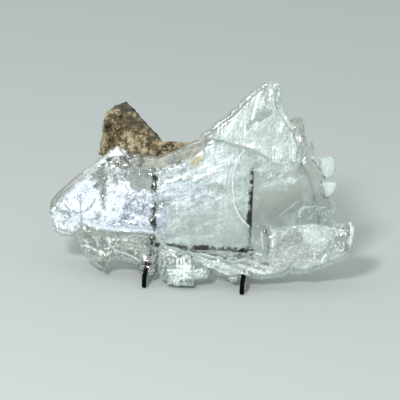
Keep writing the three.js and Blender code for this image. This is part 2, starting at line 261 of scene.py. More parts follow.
SLAB_OUTLINE = """
    -166,80 -164,87 -156,97 -141,112 -124,126 -116,134 -108,140 -98,151 -92,147 -79,142 -63,139 -52,140
    -42,144 -31,150 -21,157 -12,161 -9,168 0,173 5,180 15,187 21,194 35,210 43,218 51,224 58,227 72,226
    74,214 75,203 77,196 84,189 90,192 97,190 99,182 100,172 105,160 107,165 110,165 113,153 118,145
    125,129 129,111 132,97 136,85 141,81 149,83 157,83 161,73 159,60 157,53 152,44 147,40 137,37 122,31
    115,26 93,26 88,21 80,19 68,17 52,18 44,18 41,15 37,11 33,12 30,17 15,19 4,21 -17,24 -42,24 -51,18
    -66,20 -72,24 -79,26 -88,27 -96,25 -102,13 -105,17 -114,20 -119,25 -126,32 -130,39 -133,46 -137,49
    -153,49 -159,54 -162,60 -165,69"""
CORE_BACK, CORE_FRONT = -9.0, 1.0
RIM_BACK, RIM_FRONT = -5.2, -3.2

Sheet = namedtuple("Sheet", "outline level tilt bevel", defaults=((0, 0), 1.5))

# Cleavage sheets on the front, from the broad ones to the small ones on them.
FRONT_SHEETS = [
    # The broad sheet over the left and the middle, with a curved edge on the right.
    Sheet("""
        -161,74 -158,84 -149,95 -135,109 -122,120 -106,134 -102,141 -98,145 -93,143 -86,136 -73,124
        -62,126 -49,128 -35,133 -24,138 -17,145 -4,156 3,160 13,160 23,158 34,155 31,142 27,129 26,110
        29,96 34,85 41,77 49,71 53,58 55,46 51,35 39,30 14,30 -7,34 -22,38 -40,42 -49,48 -57,57 -84,59
        -103,58 -116,60 -129,65 -141,70 -154,71""", 9, bevel=5),
    # The peak's own face, set back behind the broad sheet.
    Sheet("""
        -7,164 2,172 11,181 21,189 29,198 36,206 45,215 53,221 62,223 68,221 70,208 73,197 78,190 85,182
        92,173 97,159 97,140 81,134 60,134 40,144 16,148 -4,148""", 6.8, (0.004, -0.01), 4.5),
    # The clear field to the right of the middle.
    Sheet("""
        -2,168 60,172 90,166 104,146 112,140 119,129 126,113 129,100 133,84 134,60 60,44
        -2,52""", 6.6, (-0.02, 0), 18),
    # The thick lower right part.
    Sheet("""
        61,74 75,72 91,73 107,77 123,75 136,75 145,79 156,81 159,72 157,59 155,50 149,43 136,38 123,33
        115,28 93,28 87,23 68,19 52,20 46,24 51,35 54,48 56,63""", 11, (-0.02, 0.01), 2.5),
    # The rounded column at its left end.
    Sheet("49,72 56,79 68,82 80,79 89,71 92,58 91,44 87,35 78,29 64,31 54,42 49,58", 13.8, bevel=13),
    # The frosted patch and the ragged blocks of the right end.
    Sheet("94,48 92,68 108,74 124,73 136,62 130,46 110,42", 13, (0.02, 0.03)),
    Sheet("140,48 137,66 143,76 154,79 157,66 153,51", 13, (0.05, 0)),
    # The bright crescent at the right end.
    Sheet("151,83 157,84 160.5,75 160,66 157.5,57 154.5,51 154,62 155,71", 15, (0.05, 0.05), 0.8),
    # The bright tip on the upper left edge.
    Sheet("-112,131 -104,139 -98,150 -92,145 -86,137 -97,134", 11, (0, -0.06)),
    # The ragged lower left part.
    Sheet("""
        -152,72 -137,78 -121,76 -103,74 -83,74 -52,72 -38,60 -40,46 -45,35 -48,24 -58,21 -66,23 -76,26
        -89,30 -99,26 -104,20 -110,22 -116,25 -125,34 -129,41 -133,49 -144,52 -154,53
        -157,60""", 7.6, (0, 0.02), 4),
    Sheet("-128,40 -124,54 -110,52 -106,38 -114,26", 9.2, (0.05, 0.06)),
    Sheet("-104,22 -100,44 -86,48 -78,34 -88,29", 8.8, (-0.05, 0.04)),
    Sheet("-72,25 -74,46 -56,50 -50,38 -52,24 -60,21", 9.5, (0, 0.05)),
    # The fringe of fanned leaves along the lower edge.
    Sheet("-14,38 20,35 45,27 84,25 76,21 50,20 31,19 2,24", 12, (0, 0.02)),
    Sheet("8,27 42,24 70,22 62,19 46,20 31,17 20,20", 14, bevel=1),
    # The spike and the tooth that hang from it.
    Sheet("-109,30 -106,19 -102,13 -99,21 -96,30", 6, bevel=1),
    Sheet("28,26 31,14 36,11.5 41,16 44,26", 9, bevel=1),
]

# Thin flakes that stand out from the right edge.
FLAKES = [
    Sheet("""
        107,149 118,150 127,152 131.5,153 135,150 135.5,141 135.5,135 131,130 127,127 121,133
        114,141""", 8, (0, 0.02), 1),
    Sheet("120,124 131,125 139,125 138.5,119 135.5,113 130.5,107.5 125,107 120,112", 7, (0, -0.02), 1),
    Sheet("124,106 138,103 138,94 135,86 128,88", -3, bevel=1),
]

# Cleavage sheets on the back; the first lies against the uprights.
REAR_SHEETS = [
    Sheet("""
        -158,72 -144,100 -121,123 -98,138 -60,136 -22,153 0,168 28,198 50,218 68,217 74,190 94,182 102,158
        112,149 123,127 128,108 134,80 152,78 148,50 120,36 85,24 30,21 -40,23 -70,28 -100,34
        -130,54""", -13, bevel=20),
]

# Rounded forms: the back and front heights in the middle, and the radius of the edge.
Bulge = namedtuple("Bulge", "outline back front radius")
BULGES = [
    # The block that hangs below the edge, its two shoulders, and the lump round the left arm.
    Bulge("-36,33 -34.5,9 -32,3.8 -5,4.2 -4.5,14 -5.5,30 -11,36 -22,39 -31,38", 3.5, 22, 4.5),
    Bulge("-43.5,26 -42.5,12 -38,9 -27,9 -26,34 -40,34", 4, 15, 5),
    Bulge("-14,34 -7,34 0,31.5 7,27 11.5,19.5 9.5,13.5 -3,11.5 -14,13", 2, 17.5, 5),
    Bulge("-67,25 -58,28 -46,25 -45,18 -48,12.5 -57,11 -65,14", -3, 11, 6),
]

# ---- Zones of the face: where each finish lies ----

# The tone runs from -1, smoky, through 0, clear, to 1, white, and the swing is how far the
# pattern moves it. The edge fades over "soft" mm. The other shares, where a zone sets them,
# say how much painted bluish reflection lies over its white, how beige-grey its veil is, and
# how milky its back is, so that the stand shows only through the clearings in it.
Zone = namedtuple(
    "Zone", "tone swing pattern outline soft cool dusk curtain", defaults=(4.0, None, None, None))

# Painted one over the other, from first to last.
ZONES = {
    # The left part.
    "left": Zone(0.32, 0.38, "crackle", soft=16, cool=0.7, curtain=1, outline="""
        -161,74 -158,84 -149,95 -135,109 -122,120 -106,134 -98,146 -86,137 -73,124 -46,124 -44,109 -43,88
        -43,59 -77,58 -100,57 -116,59 -129,65 -141,70"""),
    "left_smooth": Zone(0.1, 0.14, "mist", cool=0.2, dusk=0.3, curtain=0.6, outline="""
        -85,125 -73,123 -58,124 -52,114 -57,103 -69,101 -79,105 -84,114"""),
    "crackled": Zone(0.35, 0.38, "crackle", soft=18, cool=0.9, outline="""
        -106,102 -100,107 -89,107 -80,102 -59,101 -43,93 -40,78 -40,60 -66,58 -88,58 -103,60 -109,66
        -106,74 -103,86"""),
    "upper_left": Zone(0.35, 0.45, "pillars", soft=8, cool=0.4, dusk=0.25, outline="""
        -126,124 -110,139 -101,134 -85,133 -82,125 -83,114 -93,108 -102,109 -107,98 -113,104 -121,109
        -130,113"""),
    "wedge": Zone(0.08, 0.2, "pillars", soft=6, dusk=0.5, outline="""
        -117,123 -111,125 -105,116 -104,95 -105,76 -109,84 -112,100 -117,112"""),
    "lobe": Zone(0.85, 0.3, "crackle", cool=0.8, outline="""
        -105,103 -99,109 -90,108 -84,102 -84,90 -88,76 -92,66 -102,66 -108,72 -106,85"""),
    # A painted highlight: the light's glare off the left face, painted as bluish white veil.
    "glare": Zone(1, 0.3, "crackle", cool=0.9, outline="""
        -152,80 -149,92 -142,101 -135,107 -126,108 -119,103 -112,95 -108,87 -110,77 -116,69 -123,66
        -134,70 -143,76"""),
    "tip_grey": Zone(0.18, 0.3, "crackle", dusk=0.9, outline="""
        -104,134 -94,135 -84,133 -81,127 -85,124 -96,126 -103,128"""),
    # The middle.
    "low": Zone(0.25, 0.08, "silk", soft=24, curtain=0.7, outline="""
        -50,87 -15,88 11,94 27,102 30,95 35,84 42,76 50,70 52,51 41,40 -1,39 -33,41 -46,51"""),
    "middle": Zone(0.3, 0.2, "silk", soft=18, cool=0.12, curtain=0.9, outline="""
        -55,122 -39,130 -23,137 -9,149 2,155 18,158 34,152 30,137 27,121 27,103 11,94 -15,88 -41,85
        -52,86"""),
    "cloud_top": Zone(0.36, 0.25, "silk", cool=0.35, outline="""
        -50,130 -33,135 -19,140 -16,131 -24,122 -41,121"""),
    "cloud_left": Zone(0.42, 0.22, "silk", soft=16, cool=0.55, outline="""
        -51,116 -37,124 -17,118 -2,113 1,103 -9,96 -30,88 -47,87"""),
    "cloud_right": Zone(0.56, 0.2, "silk", soft=12, outline="""
        -13,148 4,154 27,151 32,143 27,128 17,119 0,120 -14,127 -8,138"""),
    "beige_low": Zone(0.24, 0.07, "mist", soft=12, dusk=0.2, curtain=0.7, outline="""
        20,74 34,84 42,76 49,70 52,53 36,49 21,51"""),
    "over_matrix": Zone(0.44, 0.2, "silk", soft=8, cool=0, dusk=0.7, curtain=0.15, outline="""
        -86,133 -80,141 -72,136 -65,136 -62,128 -64,123 -73,121 -82,124"""),
    "bevel": Zone(0.54, 0.24, "silk", cool=0, dusk=0.85, curtain=0.8, outline="""
        -68,136 -60,141 -51,142 -42,146 -31,152 -21,159 -13,163 -5,167 2,159 -9,147 -23,137 -40,129
        -58,124 -66,127"""),
    "stain": Zone(0.3, 0.2, "silk", soft=7, outline="-19,140 -13,144 -5,141 -7,132 -14,129 -20,134"),
    "flecks": Zone(0.45, 0.4, "crackle", outline="""
        -56,128 -42,132 -31,137 -22,132 -32,126 -44,121 -55,119"""),
    # The peak.
    "peak": Zone(0.39, 0.08, "comb", outline="""
        -9,166 2,173 11,182 21,190 29,199 36,208 45,217 53,223 62,226 72,226 74,208 77,196 84,189 92,191
        95,159 94,143 81,142 67,142 56,147 43,153 32,156 16,160 3,160"""),
    "peak_low": Zone(0.32, 0.07, "silk", soft=10, outline="""
        43,170 55,180 66,190 78,188 86,180 81,163 65,159 50,159"""),
    "peak_bright": Zone(0.5, 0.16, "comb", soft=8, outline="""
        6,175 12,181 23,187 28,184 29,167 18,164 7,167"""),
    "peak_right": Zone(0.35, 0.2, "comb", outline="""
        80,182 87,178 94,169 97,156 96,141 87,142 82,157 79,171"""),
    "peak_tip": Zone(0.24, 0.12, "comb", outline="""
        52,221 60,224 72,224 74,211 76,199 64,198 56,202 52,212"""),
    "peak_grey": Zone(0.04, 0.12, "comb", outline="""
        47,196 56,199 65,195 64,189 55,184 46,182 42,177 39,172 39,178 44,187"""),
    "flap": Zone(0.15, 0.2, "pillars", dusk=0.6, outline="""
        83,188 91,191 98,190 100,176 102,167 106,158 104,148 98,141 96,158 93,170 87,179"""),
    # The clear window and what lies round it.
    "window": Zone(0.02, 0.06, "mist", curtain=0, outline="""
        34,152 57,147 80,141 98,143 110,141 119,129 126,113 128,102 113,101 104,97 97,99 81,88 57,74 46,74
        42,77 34,85 30,95 28,109 28,128 32,141"""),
    "lens": Zone(0.2, 0.12, "silk", curtain=0.55, outline="""
        38,151 44,152 57,147 66,140 60,132 54,113 55,95 53,87 47,76 38,84 32,95 30,109 30,128 33,141"""),
    "window_top": Zone(0.2, 0.15, "silk", soft=14, outline="53,132 64,138 87,138 95,124 89,114 54,112"),
    "window_right": Zone(0.1, 0.06, "mist", dusk=0.4, outline="""
        97,140 109,142 117,134 125,120 130,105 128,98 115,98 105,99 100,113 95,124 90,134"""),
    "light_patch": Zone(0.35, 0.1, "mist", outline="104,111 110,107 113,99 105,97 103,104"),
    "striated": Zone(-0.22, 0.14, "pillars", outline="99,96 111,98 128,98 133,78 115,78 99,80"),
    # The lower right part and the right edge.
    "lower_right": Zone(0.48, 0.13, "loops", soft=6, dusk=0.36, curtain=0, outline="""
        56,74 75,72 91,73 107,77 123,75 136,77 145,81 158,83 161,72 158,55 150,42 136,37 115,27 93,27
        68,18 52,19 46,24 51,35 54,48"""),
    "looped": Zone(0.3, 0.16, "loops", soft=10, outline="81,71 102,71 111,64 112,52 93,50 81,53"),
    "column": Zone(0, 0.15, "mist", outline="53,70 58,75 66,74 72,67 73,48 71,38 63,34 56,41"),
    "milky": Zone(0.66, 0.1, "mist", soft=10, dusk=0.1, outline="""
        102,74 115,79 132,76 135,63 127,58 110,59"""),
    "right_bits": Zone(0.32, 0.4, "pillars", outline="140,78 152,81 156,64 153,52 144,53 139,65"),
    # A painted highlight: the crescent at the right end is painted white where the light catches it.
    "crescent": Zone(1.2, 0.2, "pillars", soft=2, outline="""
        152,82 156.5,84 160,75 159.5,67 157,59 155,52 154,61 155,71 154,78"""),
    "flake_upper": Zone(0.36, 0.14, "mist", soft=2, outline="""
        107,149 118,150 127,152 131.5,153 135,150 135.5,135 131,130 127,127 121,133 114,141"""),
    "flake_lower": Zone(0.4, 0.14, "mist", soft=2, outline="""
        121,124 131,125 139,125 138.5,119 135.5,113 130.5,107.5 126,108 124,116"""),
    # The lower edge.
    "lower_left": Zone(0.02, 0.22, "crinkle", dusk=0.62, curtain=0.15, outline="""
        -166,78 -154,70 -141,69 -129,64 -116,59 -100,57 -77,57 -52,57 -46,46 -45,30 -44,12 -68,12 -100,10
        -112,18 -130,30 -140,46 -162,50 -168,66"""),
    "left_margin": Zone(0.8, 0.45, "crackle", soft=10, cool=0.5, dusk=0.1, outline="""
        -166,79 -155,84 -147,80 -141,73 -130,64 -133,56 -141,52 -156,50 -164,62"""),
    "lined": Zone(0.28, 0.22, "leaf", outline="-89,54 -66,53 -57,50 -59,41 -73,38 -86,42"),
    # Painted glints: white specks where the light sparkles off the lower left part.
    "sparkling": Zone(0.18, 0.42, "crackle", outline="""
        -131,41 -125,39 -116,36 -103,37 -84,33 -67,28 -71,24 -100,25 -111,23 -122,29"""),
    "fringe": Zone(0.64, 0.24, "leaf", dusk=0.3, outline="""
        -44,42 -22,40 -7,36 14,32 39,32 52,36 84,27 92,20 70,16 30,14 12,18 -10,28 -44,24"""),
    "chunk": Zone(0.2, 0.13, "weave", dusk=0.2, outline="""
        -44,26 -41,34 -34,38 -24,39 -12,37 1,33 10,28 11,18 7,12 -5,8 -10,2 -24,1 -36,4 -44,16"""),
    "chunk_low": Zone(0.42, 0.2, "weave", outline="-33,18 -31,4 -10,2 -4,10 8,12 9,20 -4,19 -18,20"),
    "chunk_ledge": Zone(0.8, 0.3, "crackle", outline="""
        -40,32 -35,39 -25,42 -14,39 -8,34 -15,35 -24,37 -33,35"""),
    # The strips along the edges.
    "edge_strip": Zone(0.3, 0.12, "mist", dusk=0.8, outline="""
        -168,84 -158,100 -143,115 -126,130 -116,139 -109,144 -106,141 -109,136 -120,122 -136,107 -152,92
        -160,78 -166,76"""),
    "peak_edge": Zone(0.35, 0.06, "mist", dusk=0.7, outline="""
        -12,168 -2,177 10,189 22,202 31,213 40,222 50,229 57,222 50,213 42,204 33,194 22,182 11,171
        -1,161"""),
    # The tip, painted white as a highlight where the light glares off it.
    "tip_glare": Zone(1.05, 0.45, "crackle", cool=0.35, outline="""
        -120,128 -112,135 -102,145 -97,150 -92,146 -87,140 -85,136 -93,136 -102,135 -108,130 -114,127"""),
}

# How strong the fine broken grains, with their painted glints, and the fine upright hatching are in each
# pattern.
GRIT = dict(mist=0.08, silk=0.15, comb=0.18, pillars=0.3, leaf=0.2, crackle=0.6,
            crinkle=0.14, loops=0.12, weave=0.2)
HATCH = dict(mist=0.35, silk=0.35, comb=0.5, pillars=1.0, leaf=0.15, crackle=0.25,
             crinkle=0.2, loops=0.2, weave=0.7)

Line = namedtuple("Line", "width strength points")


def line_table(text):
    """Lines from rows of text: a width in mm, a strength and the points; # starts a comment."""
    rows = [row.split(maxsplit=2) for row in text.strip().split("\n") if "#" not in row]
    return [Line(float(width), float(strength), path(points)) for width, strength, points in rows]


# Thin white lines, painted highlights where an inner cleavage or a broken edge catches the light.
WHITE_LINES = line_table("""
    # The folds of the lower left part.
    1 0.7 -133,52 -129,38 -127,29.5 -117.6,24.7 -109,19 -102,13.4
    1.2 0.9 -129,39.8 -118.3,38.8 -112.8,35.6 -98.6,31.3
    1 0.8 -101,48.8 -95.3,40.3 -89.6,36.4 -75,33 -64,27
    0.8 0.6 -85,48 -73.5,54 -59,53.4
    0.7 0.5 -83.5,44.5 -59,43
    0.7 0.5 -88.5,40.5 -69.3,39.7 -54,37.5
    1.1 0.8 -160,50.5 -149.5,47.5 -138,52
    1 0.7 -116,50.3 -111.3,45.3 -109.3,39
    1 0.7 -125.3,46.5 -120.7,42.5 -122.4,36
    # The broken steps of the block below, and the fold that runs off from it.
    1.3 0.95 -20,32.3 -18.8,23 -19.8,14.4
    1.1 0.95 -11.4,30.8 -9,25.7 -11.7,19.2
    1 0.8 -32,15.7 -22,17.4
    1.1 0.9 -7.4,16.3 6,20.4
    1.2 1.1 -30,5.6 -25,5
    1 1.1 -23.5,30 -22.8,22
    1.2 1.3 -16.2,32 -15.6,24 -16,17
    1.1 1.3 -13.6,28 -12.9,21
    1 1.1 -24,24.5 -10,25.2
    1.1 1.2 -33,19.5 -18,20 -3,20.5
    1.2 1.1 -20,11 -14,15.5 -8,13
    0.8 0.8 -28,12.5 -15,12.2
    0.8 0.8 -27.5,16 -27,8
    0.8 1 -6,26 -5.5,18
    1 1.1 -2,22 3,21.6
    0.7 0.8 -22.5,15 -22,7
    1 0.8 -24,31.5 -14.8,33.2
    1 0.7 -11,36.7 -3.6,31.4 0.6,32.2 8.5,24.8 14,21 26,16.5
    # The right edge.
    0.8 0.7 109,149.3 118,149.8 127,151.5
    0.6 0.5 108.5,148 115,140 121.5,133.2 127,127.8
    0.7 0.35 116,131 121,120 124,109
    # The curved left edge of the window.
    0.8 0.85 37.8,151.7 33,143 29.4,134 28.1,124 28.5,109 31,95 35,85 42,77 48.6,71
    0.7 0.5 91.8,120.4 102.3,129.5
    0.7 0.3 79.4,84.7 88.4,92.7 98.3,101.8
    0.7 0.4 98,91 105,97
    0.7 0.2 53,110.4 68,112 87,113.7
    0.8 0.45 99.4,86 102,92.5 107,96 120,97.4 127,96.3
    # The lower edge of the left part.
    2 0.85 -139.7,72.5 -131,66.5 -120,62 -112,60 -100,60 -90,59 -77,59 -64,60 -53.4,59
    2.4 0.55 -135,72 -122,65 -112,62.5 -90,62 -66,62.5 -54,62
    # Flecks on the edge strip.
    0.8 0.95 -131,117 -126,121.5
    0.9 0.95 -124,122.5 -119.5,127
    # The peak's streaks.
    1.7 0.95 49.5,213 48,205.4 46.2,199 43.8,187
    0.9 0.75 35.7,197 37.7,167.6
    1 0.6 39,170 53,181 65,190
    0.8 0.9 8.4,177.4 9.2,167
    0.8 0.95 12.5,179.8 13.5,165
    0.7 0.8 16.6,182 17.8,165
    0.8 0.85 27,185 28.2,168
    0.6 0.7 68,157 69,143
    0.7 1 71.4,156 72.3,142.4
    0.7 1 74,156 74.9,142.5
    0.6 0.9 76.6,157.5 77.4,145
    0.7 0.9 86,158 86.8,147.5
    0.7 0.9 89.8,157 90.5,148
    0.7 0.7 69,142 76.7,140.5 85,142
    0.6 0.45 47.5,165 56,162.5 64.6,163
    0.6 0.45 48.8,161 58.4,159.5 69,161
    0.8 0.75 86.8,178 90,144.6
    0.8 0.85 90.4,172 93.6,140.6
    0.8 0.8 94,166 96,141.8
    # The rounded column.
    1.3 0.55 62.7,65.6 65,47.8
    1.1 0.9 74.8,59 74.8,51.6
    1.2 0.9 58.9,44 64.3,42.4
    # Glints near the lower edge.
    1.2 0.95 119.5,47 119.5,41.5
    1.5 0.95 131.5,48 127.5,39.5
    1.6 0.9 -99,49 -97.5,42
    # The fanned leaves.
    0.8 0.7 -5,36.6 15,31.7 38,24.8 49,21
    0.8 0.6 -1,40 22.6,34.3 44,28.4
    0.8 0.6 5,31 26.4,25 42.6,20
    0.8 0.7 -11,34 5,29 21,22.6
    0.7 0.5 48,29.7 65.5,25.6 85,21.7
    0.7 0.6 50.7,25.6 65.8,21.4 79.7,19
""")

# Dark lines, each cut as a groove and painted dark: cracks, and painted shade along the edges of steps
# and round the rounded column.
# The upright crack in the glare, the arc of scratches round it, the ridge line, and painted shade under
# the rounded column and along its sides.
DARK_LINES = line_table("""
    # The upright crack in the glare, the arc of scratches round it, and the ridge line.
    0.5 0.6 -132,91.7 -130.5,77 -129,63
    0.6 0.2 -148,81 -142,76 -133.5,73.5 -125,76 -119,82
    0.5 0.3 -147.4,88.5 -142.5,79
    0.6 0.3 -116.4,88.5 -121,79.7 -127,73
    0.8 0.75 -4,157.5 4,160.7 14,159.7 28,155.3 36.5,154.8 46,152.3 57,147.7 66,142
    1.6 0.8 64,34.5 70.5,33.5
    0.8 0.4 50.5,68 52,50 55,38
    0.8 0.4 69.5,67 71,50 69.5,38
    # Ticks beside the bright crescent, the shaded top of the upper flake, and the right edge.
    0.8 0.6 150.5,80 152.7,72 152,62 153,55
    0.9 0.8 126,151 131.5,152 134,149.5
    0.7 0.3 118,131 123,119 126,107
""")

# Gaps in the veil, through which the stand behind is seen.
CLEARINGS = line_table("""
    3.2 0.9 -54,117 -54,104
    2.8 0.75 -53,89 -53,77
    3 0.85 -53,73 -53,56
    3 0.8 -61,45 -54,45
    3 0.85 -50,45 -42,45
    2.4 0.85 -41,46 -17,46
    3.6 0.85 -7,45 3,45
    3.4 0.65 4,45 39,45
    3.8 0.98 41,45 53,45
    2.4 0.75 51.5,137 51.5,131
    4.6 0.98 51.5,128 51,118 50.5,90
    3.2 0.95 48,86 48.5,73
    3.2 0.85 49.5,71 50.5,41
    4 0.9 -60,29 -55,22
""")

# How the fibres run in each part, in degrees from u, and the two ways of the hatching.
RUN = dict(middle=17, peak=76, window=84, fringe=-12)
UPRIGHT, LEVEL = 89, 1


def zone_mask(name, u, v, soft=None):
    """How far a point lies in a zone: 0 outside, 1 inside, blended over "soft" mm."""
    half = (soft or ZONES[name].soft) / 2
    return blend(-half, half, inside_distance(path(ZONES[name].outline), u, v))


# ---- The slab's surface ----

OUTSIDE = -99.0
WANDER = ((0.8, 7, 3), (0.4, 2.5, 1))  # of the outlines: height and size in mm, octaves
LINE_WANDER = (0.5, 4, 2)
FACET_BEND, CELL_BEND = (2.2, 9, 3), (4.5, 15, 3)
STRAIGHTENED = 0.9  # how far the edge strips keep from wandering
STRIP_FADE, BEVEL_FADE = 14, 16  # mm
COARSE, FINE, REAR, CELL = 8.5, 3.2, 16, 9.0  # mm across, facets and rounded cells
GRAIN, DUST, FLECK = 2.0, 1.4, 4.5  # mm across, the facets that are only painted
RIM_GRIP = 0.45  # of a grid step: points this near inside the outline move onto it too
RIM_PULL = 1.6  # grid steps, the farthest that a point is moved
RIM_HALF = 0.8  # mm, half the thickness of the wall round the rim
RIM_RISE = 2.5  # mm over which the core reaches its thickness
WIDE_BEVEL = 8.0  # mm; sheets with wider bevels run into their neighbours without a crease
SOFT_JOIN, CRISP_JOIN, REAR_JOIN = 3.0, 0.2, 4.0  # mm over which sheets run together
FLAKE_THICKNESS = 5.0  # mm, of a sheet that stands out past the outline
LEAST_THICKNESS = 1.0  # mm
RELIEF_EDGE = 3.0  # mm inside the edge, where the relief reaches its full height
GROOVE_WIDTH, GROOVE_DEPTH = 1.0, 0.8  # mm, of a dark line

# Long steps of the cleavage: their length and width in mm, their seed, and steps to each unit.
LEDGES = dict(middle=(60, 14, 31, 4), peak=(50, 7, 32, 4), window=(70, 8, 33, 4), fringe=(40, 4, 34, 3))

# How high each zone's own form stands, in mm, and how far broken facets cover a zone.
HEIGHTS = dict(chunk=0.35, peak=0.3, window=0.12, fringe=1.2, lower_right=0.24)
RAGGED = dict(lower_left=0.38, chunk=0.15, right_bits=0.7, left=0.25, flap=0.45)
SMOOTH = ("glare", "lobe", "left_smooth", "over_matrix", "bevel", "edge_strip")
SMOOTHED = 0.85  # how far a smooth zone is free of facets

TORN_EDGE = 2.4  # mm, how far the edges of the clearings are torn
PLAIN_TONE, PLAIN_SWING = 0.1, 0.1  # where no zone lies
RIM_TONE, STRIP_TONE, RIM_WIDTH = 0.4, 0.45, 1.2  # the pale line round the edge, width in mm
CLEAR_HATCH = 0.3  # of the hatching is left in a clearing
BACK_VEIL, BACK_SMOKE = 0.6, 0.4  # the back's share of the front's tone


def sheet_height(sheet, distance, u, v):
    """A flat sheet that falls away over its bevel: level + tilt, less the drop at its edge."""
    outline = path(sheet.outline)
    middle = (outline.min(0) + outline.max(0)) / 2
    top = sheet.level + sheet.tilt[0] * (u - middle[0]) + sheet.tilt[1] * (v - middle[1])
    return top, (abs(sheet.level) + 3) * (1 - blend(0, sheet.bevel, distance))


def bulge_heights(bulge, distance):
    """A pillow: its half depth follows a quarter circle over the radius from its outline."""
    middle = (bulge.back + bulge.front) / 2
    half = (bulge.front - bulge.back) / 2
    share = np.clip(distance / bulge.radius, 0, 1)
    profile = np.sqrt(np.clip(1 - (1 - share) ** 2, 0, 1)) ** 0.8
    return middle - half * profile, middle + half * profile


class Field:
    """A grid over an outline; a closed shell is made of its front, back and edge arrays.

    The edge array is the distance inside the outline, less than 0 outside.
    """

    def __init__(self, outline, step):
        margin = 3 * step
        low, high = outline.min(0) - margin, outline.max(0) + margin
        self.step = step
        axes = [np.arange(start, stop, step) for start, stop in zip(low, high)]
        self.u, self.v = np.meshgrid(*axes, indexing="ij")

    def snapped(self):
        """Grid points, with those nearest the outline pulled onto it."""
        slope_u, slope_v = np.gradient(self.edge, self.step)
        length = np.maximum(np.hypot(slope_u, slope_v), 1e-6)
        pull = np.where(self.edge < RIM_GRIP * self.step, -self.edge, 0) / length
        pull = np.minimum(pull, RIM_PULL * self.step) / length
        return self.u + pull * slope_u, self.v + pull * slope_v


